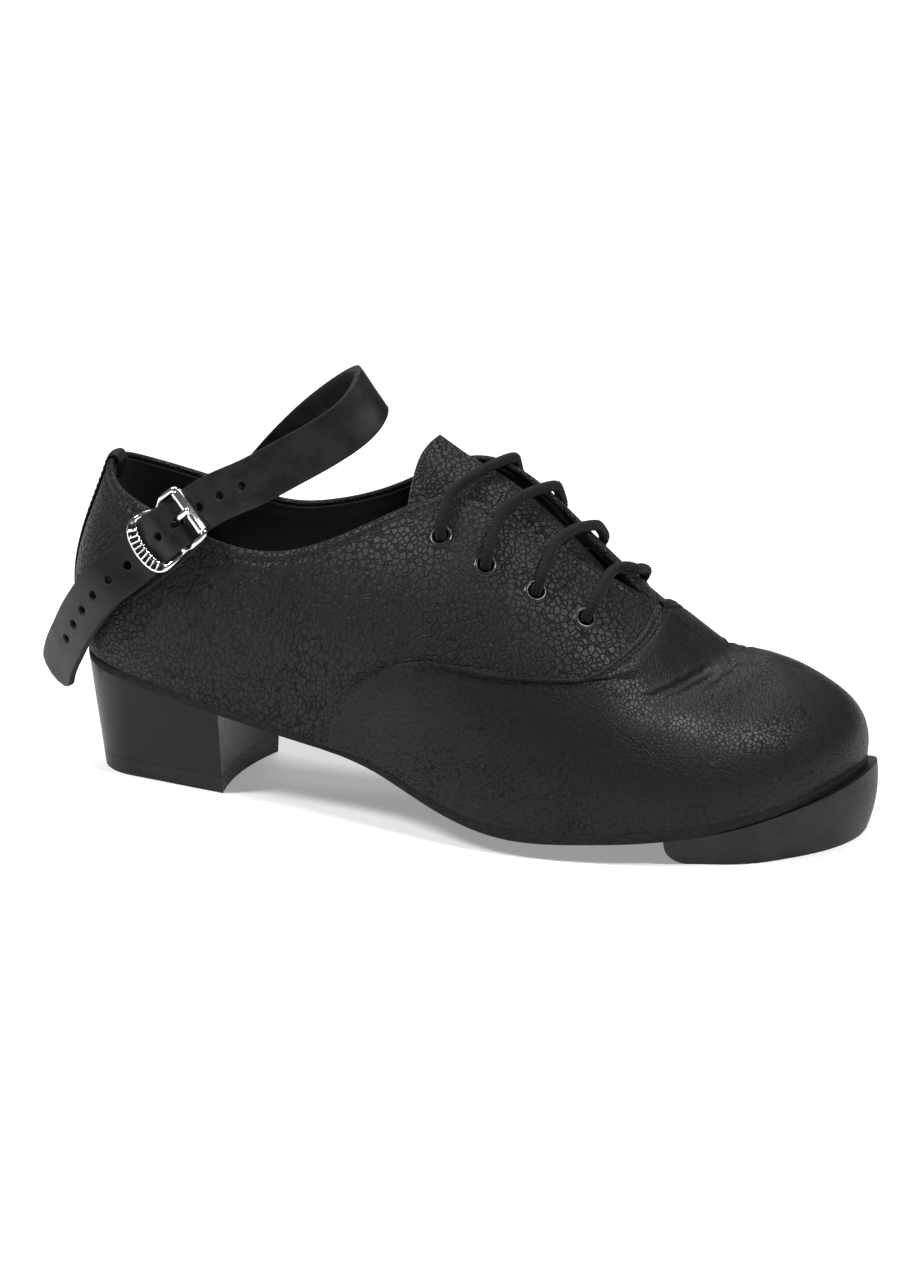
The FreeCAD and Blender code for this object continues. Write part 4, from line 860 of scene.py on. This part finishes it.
def make_outsole():
    """Closed slab of rings: in to the middle line on both faces and round the frayed edge."""
    count = 520
    s = np.arange(count) / count
    spine_s = np.clip(np.minimum(s, 1 - s), 0.05, 0.43)
    spine = (foot_curve(spine_s) + foot_curve(1 - spine_s)) / 2
    inset = outline(s, 0.3)
    lower, upper = ([levelled(lerp(inset, spine, f), level) for f in SOLE_SHARES] for level in (0.0, 1.0))
    edge = []
    for swell, level in SOLE_PROFILE:
        rim = levelled(outline(s, 0.15 - swell), level)
        side = unit(rim - spine)
        side[:, 2] = 0
        fray = 0.16 if 0.2 < level < 0.95 else 0.08
        edge.append(rim + side * ragged(rim, fray, 0.35)[:, None])
    rings = np.array(lower + edge + upper[::-1])
    faces = grid_quads(len(rings), count, closed=True)
    piece = add_mesh("outsole_slab", rings.reshape(-1, 3), faces, [SOLE_EDGE], "shoe")
    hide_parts("outsole")


make_outsole()


# ---- eyelets

EYELET_SECTION = [
    (2.35, -3.5), (2.35, -0.4), (2.38, 0.1), (2.5, 0.42), (2.72, 0.58), (3.0, 0.60), (3.35, 0.50),
    (3.68, 0.30), (3.86, 0.10), (3.9, -0.08), (3.6, -0.12), (2.75, -0.12), (2.72, -3.5), (3.3, -3.6),
    (3.35, -3.85), (2.9, -4.0), (2.45, -3.8),
]


def make_eyelets(side, name):
    """One flanged ring per eyelet, turned from the section."""
    turn = ring_angles(56)
    section = np.array(EYELET_SECTION)
    rings = []
    for base, way in eyelet_axes(side):
        first = unit(np.cross(way, (0.3, 0.1, 1.0)))
        radial = spokes(first, np.cross(way, first), turn)
        rings.append(base + radial[:, None] * section[:, :1] + way * (section[:, 1:] + 0.05))
    rings = np.array(rings)
    quads = grid_quads(len(turn), len(section), closed=True, looped=True)
    faces = quads + np.arange(len(rings))[:, None, None] * len(turn) * len(section)
    made = name + "_eyelet_rings"
    piece = add_mesh(made, rings.reshape(-1, 3), faces.reshape(-1, 4), [ENAMEL], "shoe")
    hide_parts(name + "_eyelets")


for side, name in SIDES:
    make_eyelets(side, name)


# ---- tongue

# Rows from the throat up: place along the lateral facing over the hidden edge, then crest and open edge.
TONGUE = [
    (0.650, (157.5, 8.5, 70.6), (156.5, 15, 68.4)),
    (0.610, (143, 3, 86.2), (142.5, 10.2, 84.6)),
    (0.575, (128, -0.5, 98.0), (128, 9.5, 97.4)),
    (0.540, (114, -2, 104.8), (114, 9.5, 107.0)),
    (0.500, (101, -2.5, 109.3), (101, 10.0, 113.0)),
    (0.450, (87, -4, 113.0), (88.5, 12, 119.0)),
]
TONGUE_UNDER, TONGUE_TUCK, TONGUE_THICKNESS = -4.2, 0.90, 2.2


def make_tongue():
    sections = []
    for v, crest, edge in TONGUE:
        s = side_place(-1, v)
        sections.append([skin(s, TONGUE_TUCK, TONGUE_UNDER), skin(s, 0.975, TONGUE_UNDER), crest, edge])
    sections = np.array(sections, float)
    rails = Spline(np.linspace(0, 1, len(TONGUE)), sections.reshape(len(TONGUE), -1))
    a, b = np.linspace(0, 1, 130), np.linspace(0, 1, 56)
    top = np.array([Spline([0.0, 0.27, 0.62, 1.0], corners)(b) for corners in rails(a).reshape(len(a), 4, 3)])
    normal = unit(np.cross(np.gradient(top, axis=1), np.gradient(top, axis=0)))
    ripple = 0.22 * np.sin(a * 21 + 1)[:, None] * np.sin(b * 3.0)[None]
    outer = top + normal * (ripple - 0.15)[..., None]
    inner = outer - normal * (TONGUE_THICKNESS - 0.4)
    quads = grid_quads(*top.shape[:2])
    piece = add_shell("tongue_leather", outer, inner, quads, 0.25, [TONGUE_LEATHER, RAW_EDGE], "tongue_leather",
                      "tongue_flap", square=0.45, steps=5)
    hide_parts("tongue")


make_tongue()


# ---- swept pieces

def smooth_line(points, order=3, resolution=30):
    """Points read from a NURBS spline with these control points, in millimetres."""
    curve = bpy.data.curves.new("route", "CURVE")
    curve.dimensions = "3D"
    curve.resolution_u = resolution
    spline = curve.splines.new("NURBS")
    spline.points.add(len(points) - 1)
    for made, point in zip(spline.points, points):
        made.co = (*(np.asarray(point) * MM), 1.0)
    spline.order_u = order
    spline.use_endpoint_u = True
    holder = bpy.data.objects.new("route", curve)
    mesh = bpy.data.meshes.new_from_object(holder)
    line = np.array([v.co for v in mesh.vertices]) / MM
    bpy.data.objects.remove(holder)
    bpy.data.curves.remove(curve)
    bpy.data.meshes.remove(mesh)
    return line


def resample(line, step):
    run = run_along(line)
    wanted = np.linspace(0, run[-1], int(run[-1] / step) + 1)
    return read_line(line, run, wanted), wanted


def frames_along(line):
    """Two directions across a line that turn as little as possible along it."""
    ahead = unit(np.gradient(line, axis=0))
    out = [unit(np.cross(ahead[0], (0.2, 0.3, 1.0)))]
    for way in ahead[1:]:
        out.append(unit(out[-1] - way * (out[-1] @ way)))
    first = np.array(out)
    return first, np.cross(ahead, first)


def braided_tube(line, radius, strands=6, pitch=9.0, sides=36):
    """Points of a round braid: two families of strands that wind opposite ways and cross over and under."""
    line, run = resample(line, 0.22)
    turn = ring_angles(sides)
    round_way, along_way = turn / (2 * math.pi), run[:, None] / pitch
    u, w = strands * (round_way + along_way), strands * (round_way - along_way)

    def strand(x, other):
        across = 1 - (2 * np.mod(x, 1.0) - 1) ** 2
        over = 0.80 + 0.20 * np.cos(np.pi * np.floor(x)) * np.cos(2 * np.pi * other)
        return np.sqrt(np.maximum(across, 0)) * over

    height = np.maximum(strand(u, w * 0.5), strand(w, u * 0.5 + 0.5))
    return line[:, None] + spokes(*frames_along(line), turn) * (radius * (0.80 + 0.20 * height))[..., None]


def add_tube(name, rings, material, body):
    """Tube through rings of points, with flat ends fanned to their centres."""
    count, sides = rings.shape[:2]
    points = np.vstack([rings.reshape(-1, 3), rings[0].mean(0), rings[-1].mean(0)])
    start, end, last = len(points) - 2, len(points) - 1, (count - 1) * sides
    faces = grid_quads(count, sides, closed=True).tolist()
    for i in range(sides):
        j = (i + 1) % sides
        faces += [(start, j, i), (end, last + i, last + j)]
    return add_mesh(name, points, faces, [material], body)


# ---- lace

LACE_RADIUS = 1.8
LACE_CROWN = 1.4
# From under the lining up through an eyelet: share of the way to the facing's edge, and height.
LACE_CLIMB = [(0, -8.6), (0, -3.5), (0, 0.9), (0.12, 3.3), (0.30, 3.2), (0.75, 2.9)]


def lace_stop(side, row):
    """Control points at one eyelet, from under the lining, up through it and over the facing's edge."""
    v, t = EYELETS[side][row]
    s = side_place(side, v)
    return [skin(s, lerp(t, 0.99, share), out) for share, out in LACE_CLIMB] + [skin(s, 0.995, 3.1)]


def lace_route():
    points = [skin(side_place(-1, 0.47), 0.64, -8.2)]
    way = -1
    for row in range(len(EYELETS[way])):
        near = lace_stop(way, row)
        way = -way
        far = lace_stop(way, row)
        span = far[-1] - near[-1]
        rise = unit(np.array([span[2], 0, abs(span[1])]))
        points += near + [(near[-1] + far[-1]) / 2 + rise * LACE_CROWN] + far[::-1]
    return points + [skin(side_place(way, 0.655), 0.64, -8.2)]


lace_rings = braided_tube(smooth_line(lace_route()), LACE_RADIUS)
lace = add_tube("lace_braid", lace_rings, LACE_BRAID, "shoe")
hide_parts("lace")


# ---- buckle frame of reference

BUCKLE_CENTRE = np.array([12.3, -31.7, 90.4])
TAIL_WAY = unit((-0.737, -0.134, -0.663))
UP_WAY = np.array([-0.721, 0.16, 0.675])
UP_WAY = unit(UP_WAY - TAIL_WAY * (UP_WAY @ TAIL_WAY))
OUT_WAY = np.cross(UP_WAY, TAIL_WAY)


def buckle_point(u, w, n):
    """Point from distances along, across (upwards) and out of the buckle."""
    u, w, n = (np.asarray(x, float)[..., None] for x in (u, w, n))
    return BUCKLE_CENTRE + TAIL_WAY * u + UP_WAY * w + OUT_WAY * n


# ---- ankle strap

FLAT_WAY = (-0.72, -0.16, 0.675)
STRAP = [
    (skin(1 - 0.052, 0.50, 2.2), FLAT_WAY),
    (skin(1 - 0.068, 0.70, 2.2), FLAT_WAY),
    (skin(1 - 0.086, 0.90, 2.4), FLAT_WAY),
    ((27.7, 21.5, 101.5), (-0.67, -0.13, 0.73)),
    ((37.5, 17, 111.5), (-0.66, -0.15, 0.73)),
    ((47.7, 12.5, 120.8), (-0.62, -0.15, 0.77)),
    ((57.8, 8.5, 128.8), (-0.56, -0.17, 0.81)),
    ((64.9, 4.0, 133.6), (-0.52, -0.16, 0.84)),
    ((69.9, -1.0, 135.6), (-0.52, -0.16, 0.84)),
    ((71.4, -6.5, 132.9), (-0.50, -0.13, 0.86)),
    ((69.6, -11.0, 128.6), (-0.51, -0.07, 0.86)),
    ((64.8, -15.0, 124.0), (-0.51, -0.02, 0.86)),
    ((57.2, -19.0, 118.8), (-0.52, 0.05, 0.86)),
    ((48.0, -22.5, 113.2), (-0.54, 0.10, 0.84)),
    ((38.0, -26.0, 107.3), (-0.60, 0.15, 0.79)),
    (buckle_point(-17, -0.7, -2.6), UP_WAY),
    (buckle_point(-10.4, 0, -2.5), UP_WAY),
    (buckle_point(-5, 0, -0.1), UP_WAY),
    (buckle_point(0, 0, 1.95), UP_WAY),
    (buckle_point(6, 0, 0.0), UP_WAY),
    (buckle_point(11.9, 0, -1.75), UP_WAY),
    (buckle_point(19.5, 0, -2.2), UP_WAY),
    ((-8.7, -33.3, 71.4), (-0.70, 0.2, 0.68)),
    ((-14, -32.3, 65.7), (-0.70, 0.22, 0.67)),
    ((-19, -29.9, 59.5), (-0.72, 0.26, 0.64)),
    ((-23.6, -27, 53.3), (-0.74, 0.3, 0.6)),
    ((-28, -23.5, 46.6), (-0.76, 0.34, 0.55)),
    ((-33.5, -18.5, 38), (-0.78, 0.38, 0.5)),
    ((-37, -14, 29.5), (-0.8, 0.4, 0.45)),
]
STRAP_WIDTH, STRAP_THICKNESS, STRAP_TIP = 16.0, 2.5, 5.5
HOLE_RADIUS, HOLE_PITCH, HOLE_CELL = 1.5, 8.3, 2.7
BAR_KNOT = 18

strap_points = np.array([point for point, _ in STRAP])
strap_knots = run_along(strap_points)
strap_line = Spline(strap_knots, strap_points)
strap_edge = Spline(strap_knots, [way for _, way in STRAP])
prong_knot = strap_knots[BAR_KNOT] - 5.2


def strap_axes(u):
    """Middle point, across and outward directions of the strap."""
    low, high = np.maximum(u - 0.2, 0), np.minimum(u + 0.2, strap_knots[-1])
    forward = unit(strap_line(high) - strap_line(low))
    across = strap_edge(u)
    across = unit(across - forward * (across * forward).sum(-1, keepdims=True))
    return strap_line(u), across, np.cross(across, forward)


def punched_strip(start, end, holes, half):
    """Flat mesh of a strip with round holes down its middle, in distances along and across."""
    cuts = []
    for hole in sorted(holes):
        cuts += list(np.linspace(hole - HOLE_CELL, hole + HOLE_CELL, 9))
    stops = [start] + cuts + [end]
    lines = [start]
    for low, high in zip(stops, stops[1:]):
        count = max(int(round((high - low) / 1.3)), 1)
        lines += list(np.linspace(low, high, count + 1)[1:])
    lines = np.array(lines)
    wide = np.linspace(HOLE_CELL, half, 7)
    rows = np.concatenate([-wide[::-1], np.linspace(-HOLE_CELL, HOLE_CELL, 9)[1:-1], wide])
    grid_u, grid_w = np.meshgrid(lines, rows, indexing="ij")
    flat = np.stack([grid_u, grid_w], -1).reshape(-1, 2)
    quads = grid_quads(len(lines), len(rows))
    centres = flat[quads].mean(1)
    kept = np.ones(len(quads), bool)
    points, faces = [flat], []
    total = len(flat)
    for hole, length in holes.items():
        square = (np.abs(centres[:, 0] - hole) < HOLE_CELL) & (np.abs(centres[:, 1]) < HOLE_CELL)
        kept &= ~square
        column = int(np.argmin(np.abs(lines - (hole - HOLE_CELL))))
        row = int(np.argmin(np.abs(rows + HOLE_CELL)))
        side = np.arange(8)
        walk = [(column + i, row) for i in side] + [(column + 8, row + i) for i in side]
        walk += [(column + 8 - i, row + 8) for i in side] + [(column, row + 8 - i) for i in side]
        edge = np.array([c * len(rows) + r for c, r in walk])
        way = unit(flat[edge] - np.array([hole, 0]))
        layers = [edge]
        for radius in (2.4, 2.15, HOLE_RADIUS + 0.42, HOLE_RADIUS + 0.3):
            ring = way * radius + np.array([hole, 0])
            ring[:, 0] += np.where(way[:, 0] > 0, length, 0) * smooth(np.abs(way[:, 0]), 0, 0.5)
            points.append(ring)
            layers.append(total + np.arange(len(edge)))
            total += len(edge)
        for outer, inner in zip(layers, layers[1:]):
            faces.append(np.stack([outer, inner, np.roll(inner, -1), np.roll(outer, -1)], -1))
    return np.vstack(points), np.vstack([quads[kept]] + faces)


def make_strap():
    holes = {prong_knot - index * HOLE_PITCH: 0.0 for index in range(-8, 4)}
    holes[prong_knot] = 1.2
    start, end = 0.5, strap_knots[-1] - 0.6
    flat, quads = punched_strip(start, end, holes, STRAP_WIDTH / 2 - 0.35)
    u, w = flat[:, 0], flat[:, 1]
    near_tip = np.clip((u - (end - STRAP_TIP)) / STRAP_TIP, 0, 0.985)
    near_start = np.clip((start + 3 - u) / 3, 0, 0.98)
    w = w * (1 - near_tip ** 2.6) ** (1 / 2.2) * (1 - 0.25 * near_start ** 3)
    middle, across, away = strap_axes(u)
    dish = 0.18 * (np.abs(w) / 8) ** 4
    crease = 0.14 * hump(np.abs(w), STRAP_WIDTH / 2 - 1.4, 0.28)
    half = STRAP_THICKNESS / 2
    middle = middle + across * w[:, None]
    outer, inner = middle + away * (half - dish - crease)[:, None], middle - away * (half - dish)[:, None]
    piece = add_shell("punched_strap", outer, inner, quads, 0.30, [STRAP_HIDE, STRAP_EDGE], "strap_leather",
                      square=0.5, steps=5)
    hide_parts("ankle_strap")


make_strap()


# ---- chape

CHAPE_CORNERS = ((0.0695, 0.475), (0.048, 0.67), (0.0715, 0.985), (0.110, 0.985))
# Height of the fold's axis in the buckle, and its radius.
CHAPE_BAR, CHAPE_WRAP = -2.0, 1.85


def from_edge(count):
    """Number of steps from each point of a row to the nearer end of it."""
    return np.minimum(np.arange(count), count - 1 - np.arange(count))


def make_chape():
    """Tab sewn to the lateral quarter, and the fold that holds the buckle's centre bar."""
    first, second, third, fourth = (np.array(c) for c in CHAPE_CORNERS)
    a, b = np.linspace(0, 1, 60)[:, None, None], np.linspace(0, 1, 40)[None, :, None]
    places = lerp(lerp(first, fourth, a), lerp(second, third, a), b)
    s, t = places[..., 0], places[..., 1]
    base, normal = skin_point(s, t), skin_normal(s, t)
    rows, columns = s.shape
    edge = np.minimum.outer(from_edge(rows) * 0.9, from_edge(columns) * 0.42)
    outer, inner = base + normal * (1.45 - 0.3 * hump(edge, 1.9, 0.4))[..., None], base + normal * 0.25
    hide = [STRAP_HIDE, STRAP_EDGE]
    quads = grid_quads(rows, columns)
    piece = add_shell("chape_tab", outer, inner, quads, 0.35, hide, "strap_leather", square=0.6, steps=4)
    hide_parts("buckle_chape")
    seams = [(slice(2, -2), 4), (slice(2, -2), -5), (2, slice(4, -4))]
    stitches("chape_stitches", [(outer[seam], normal[seam]) for seam in seams], pitch=2.6)
    turn = np.linspace(-math.pi / 2, -1.5 * math.pi, 15)
    fold = [(CHAPE_WRAP * math.cos(x), CHAPE_BAR + CHAPE_WRAP * math.sin(x)) for x in turn]
    path = np.array([(8.5, -4.6), (4.0, -4.1)] + fold + [(1.5, -0.35), (4.2, -1.75), (7.5, -2.9)])
    for number, (low, high) in enumerate(((-6.5, -2.3), (2.3, 6.5)), start=1):
        sheet = buckle_point(path[:, :1], np.linspace(low, high, 8)[None], path[:, 1:])
        way = unit(np.cross(np.gradient(sheet, axis=0), np.gradient(sheet, axis=1))) * 0.45
        quads = grid_quads(*sheet.shape[:2])
        add_shell(f"chape_loop_{number}", sheet + way, sheet - way, quads, 0.12, hide, "strap_leather")


make_chape()


# ---- buckle

# Half outlines of the frame from the roller end to the middle of the keeper end: along and across.
BUCKLE_OUTER = [
    (-11.5, 0), (-11.5, 4), (-11.55, 7.6), (-11.2, 9.2), (-9.6, 10.0), (-6, 10.15), (-3, 9.9), (-0.9, 9.15),
    (0, 9.0),
    (0.9, 9.15), (3, 9.95), (6.2, 10.45), (8.6, 10.1), (10.7, 8.7), (12.2, 6.3), (13.0, 3.3), (13.3, 0),
]
BUCKLE_INNER = [
    (-9.3, 0), (-9.3, 4), (-9.3, 7.2), (-9.2, 8.1), (-8.6, 8.35), (-6, 8.45), (-3, 8.25), (-0.9, 7.7),
    (0, 7.55),
    (0.9, 7.7), (3, 8.3), (5.4, 8.7), (6.7, 8.3), (7.6, 7.0), (8.3, 4.9), (8.75, 2.5), (8.9, 0),
]
RAIL_HALF, KEEPER_HALF = 0.85, 0.80
RIDGE_STEP, RIDGE_END = math.radians(10.5), math.radians(48)
# The roller's section, as place across and radius, its axis in the buckle and the angle of its slit.
ROLLER_SECTION = [
    (-7.8, 1.45), (-7.8, 1.72), (-7.65, 1.85), (-7.4, 1.9), (7.4, 1.9),
    (7.65, 1.85), (7.8, 1.72), (7.8, 1.45), (7.5, 1.3), (-7.5, 1.3),
]
ROLLER_U, ROLLER_N, SLIT_ANGLE = -10.4, 1.6, 2.2
PRONG_ROUTE = [
    (1.9, -2.0), (0.6, -0.7), (-1.5, -1.3), (-3.5, -1.1), (-5.0, 0.6), (-6.5, 3.2), (-8.5, 4.7), (-12.2, 4.95),
]
PRONG_FLATNESS = 0.82


def frame_height(u):
    """Height of the frame's middle: it dips to the centre bar."""
    return 1.6 - 3.4 * hump(u, 0, 3.6)


def squared(wave, power):
    """Sine or cosine with its sign kept and its size raised to the power, for a squarer section."""
    return np.sign(wave) * np.abs(wave) ** power


def make_buckle_frame():
    """Closed frame: two rails, a roller bar and a ridged keeper end whose sunk band is painted shade in a
    darker chrome.
    """
    knots = np.linspace(0, 1, len(BUCKLE_OUTER))
    halves = [Spline(knots, half)(np.linspace(0, 1, 190)) for half in (BUCKLE_OUTER, BUCKLE_INNER)]
    outer, inner = (np.vstack([half, half[-2:0:-1] * np.array([1, -1])]) for half in halves)
    centre, reach = (outer + inner) / 2, (outer - inner) / 2
    keeper = smooth(centre[:, :1], 6.5, 9.5)
    half_arc = np.arctan2(centre[:, 1:], centre[:, :1] - 1.5)
    ridge_phase = np.mod(half_arc / RIDGE_STEP + 0.5, 1.0) - 0.5
    ridge = hump(ridge_phase, 0, 0.13) * keeper * (np.abs(half_arc) < RIDGE_END)
    turn = ring_angles(28)[None]
    square = lerp(0.9, 0.55, keeper)
    cosine, sine = squared(np.cos(turn), square), squared(np.sin(turn), square)
    trough = 0.28 * keeper * hump(cosine, 0, 0.62) * (sine > 0)
    raised = 0.30 * ridge * (sine > 0) * (cosine < 0.72)
    n = frame_height(centre[:, :1]) + sine * lerp(RAIL_HALF, KEEPER_HALF, keeper) - trough + raised
    rings = buckle_point(centre[:, :1] + reach[:, :1] * cosine, centre[:, 1:] + reach[:, 1:] * cosine, n)
    faces = grid_quads(*n.shape, closed=True, looped=True)
    # Faces in the sunk band of the keeper take the darker chrome: painted shade in the trough.
    painted_shade_band = (keeper > 0.6) & (sine > 0.15) & (np.abs(cosine) < 0.66) & (ridge < 0.35)
    tones = [CHROME, CHROME_PAINTED_SHADE]
    piece = add_mesh("buckle_plate", rings.reshape(-1, 3), faces, tones, "buckle", painted_shade_band.ravel())
    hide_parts("buckle_frame")
    line = buckle_point(0, np.linspace(-8.6, 8.6, 12), -1.9)
    bar = line[:, None] + spokes(*frames_along(line), ring_angles(24)) * 1.1
    add_tube("buckle_centre_bar", bar, CHROME, "buckle")


def make_roller():
    """Rolled tube that turns on the outer bar, with the slit where its edges meet."""
    turn = ring_angles(72)
    slit = 1 - 0.06 * hump(np.minimum(turn, 2 * math.pi - turn), 0, 0.06)
    w, radius = np.array(ROLLER_SECTION).T
    reach = slit[:, None] * radius
    angle = turn[:, None] + SLIT_ANGLE
    rings = buckle_point(ROLLER_U + reach * np.cos(angle), w, ROLLER_N + reach * np.sin(angle))
    faces = grid_quads(*reach.shape, closed=True, looped=True)
    piece = add_mesh("roller_tube", rings.reshape(-1, 3), faces, [CHROME], "roller")
    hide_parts("buckle_roller")


def make_prong():
    """Finger from its loop round the centre bar to its tip on the roller."""
    line, run = resample(smooth_line([buckle_point(u, 0, n) for u, n in PRONG_ROUTE], 4), 0.25)
    share = run / run[-1]
    wide = lerp(1.15, 0.95, smooth(share, 0.2, 0.9)) * (1 - 0.55 * smooth(share, 0.965, 1.0))
    rise = unit(np.cross(UP_WAY, unit(np.gradient(line, axis=0)))) * PRONG_FLATNESS
    rings = line[:, None] + spokes(UP_WAY, rise, ring_angles(24)) * wide[:, None, None]
    piece = add_tube("prong_finger", rings, CHROME, "prong")
    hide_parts("buckle_prong")


make_buckle_frame()
make_roller()
make_prong()


# ---- carried-over frame nodes

CARRIED = {
    "insole": BOARD, "sock_liner": LINING, "shank": STEEL, "cork_filler": CORK, "lasting_edge": TRIM_LEATHER,
    "heel_tip": HEEL_TIP, "heel_block": HEEL_SATIN, "heel_nails": STEEL, "toe_tip": TOE_BLOCK,
    "toe_tip_screws": STEEL, "vamp_lining": LINING, "toe_puff": BOARD, "heel_counter": BOARD,
    "lateral_eyelet_stay": BOARD, "medial_eyelet_stay": BOARD,
}
for node, material in CARRIED.items():
    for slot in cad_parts[node].material_slots:
        slot.material = material


# ---- studio

FLOOR_SIZE = 6.0
# Name, place, point that the light faces, width and height, watts.
SUBJECT = (0.1, 0.0, 0.05)
LIGHTS = [
    ("top_light", (0.15, 0.55, 1.45), SUBJECT, (1.2, 0.7), 12),
    ("left_light", (-0.55, -0.45, 0.95), SUBJECT, (0.22, 0.32), 13),
    ("toe_light", (0.85, -0.28, 0.95), SUBJECT, (0.18, 0.24), 13),
    ("far_light", (-0.35, 1.6, 1.3), (-0.35, 1.7, 0), (1.2, 0.8), 13),
]


def make_floor():
    look = Look("studio_floor", Specular_IOR_Level=0.0, Emission_Strength=0.30, Emission_Color=(1, 1, 1, 1))
    cloud = look.noise(look.place, 3.0, 1.0)
    look.finish(look.blend(cloud, (0.66, 0.685, 0.69, 1), (0.68, 0.70, 0.705, 1)), 1.0)
    mesh = bpy.data.meshes.new("floor")
    corners = [(x * FLOOR_SIZE, y * FLOOR_SIZE, 0) for x, y in ((-1, -1), (1, -1), (1, 1), (-1, 1))]
    mesh.from_pydata(corners, [], [(0, 1, 2, 3)])
    mesh.materials.append(look.material)
    floor = bpy.data.objects.new("floor", mesh)
    scene.collection.objects.link(floor)


def soft_light(name, place, target, size, power):
    data = bpy.data.lights.new(name, "AREA")
    data.shape = "RECTANGLE"
    data.size, data.size_y = size
    data.energy = power
    lamp = bpy.data.objects.new(name, data)
    scene.collection.objects.link(lamp)
    lamp.location = place
    x, y, z = unit(np.array(target, float) - np.array(place, float))
    lamp.rotation_euler = (math.acos(-z), 0, math.atan2(y, x) - math.pi / 2)


def make_studio():
    """World that is bright to the camera and dim as a light, and the lights."""
    world = bpy.data.worlds.new("studio")
    scene.world = world
    world.use_nodes = True
    tree = world.node_tree
    sky = tree.nodes["Background"]
    sky.inputs["Color"].default_value = (0.97, 0.98, 1.0, 1)
    path = tree.nodes.new("ShaderNodeLightPath")
    strength = tree.nodes.new("ShaderNodeMapRange")
    strength.inputs["To Min"].default_value = 0.11
    strength.inputs["To Max"].default_value = 0.93
    tree.links.new(path.outputs["Is Camera Ray"], strength.inputs["Value"])
    tree.links.new(strength.outputs["Result"], sky.inputs["Strength"])
    for light in LIGHTS:
        soft_light(*light)
    scene.view_settings.view_transform = "Standard"


make_floor()
make_studio()
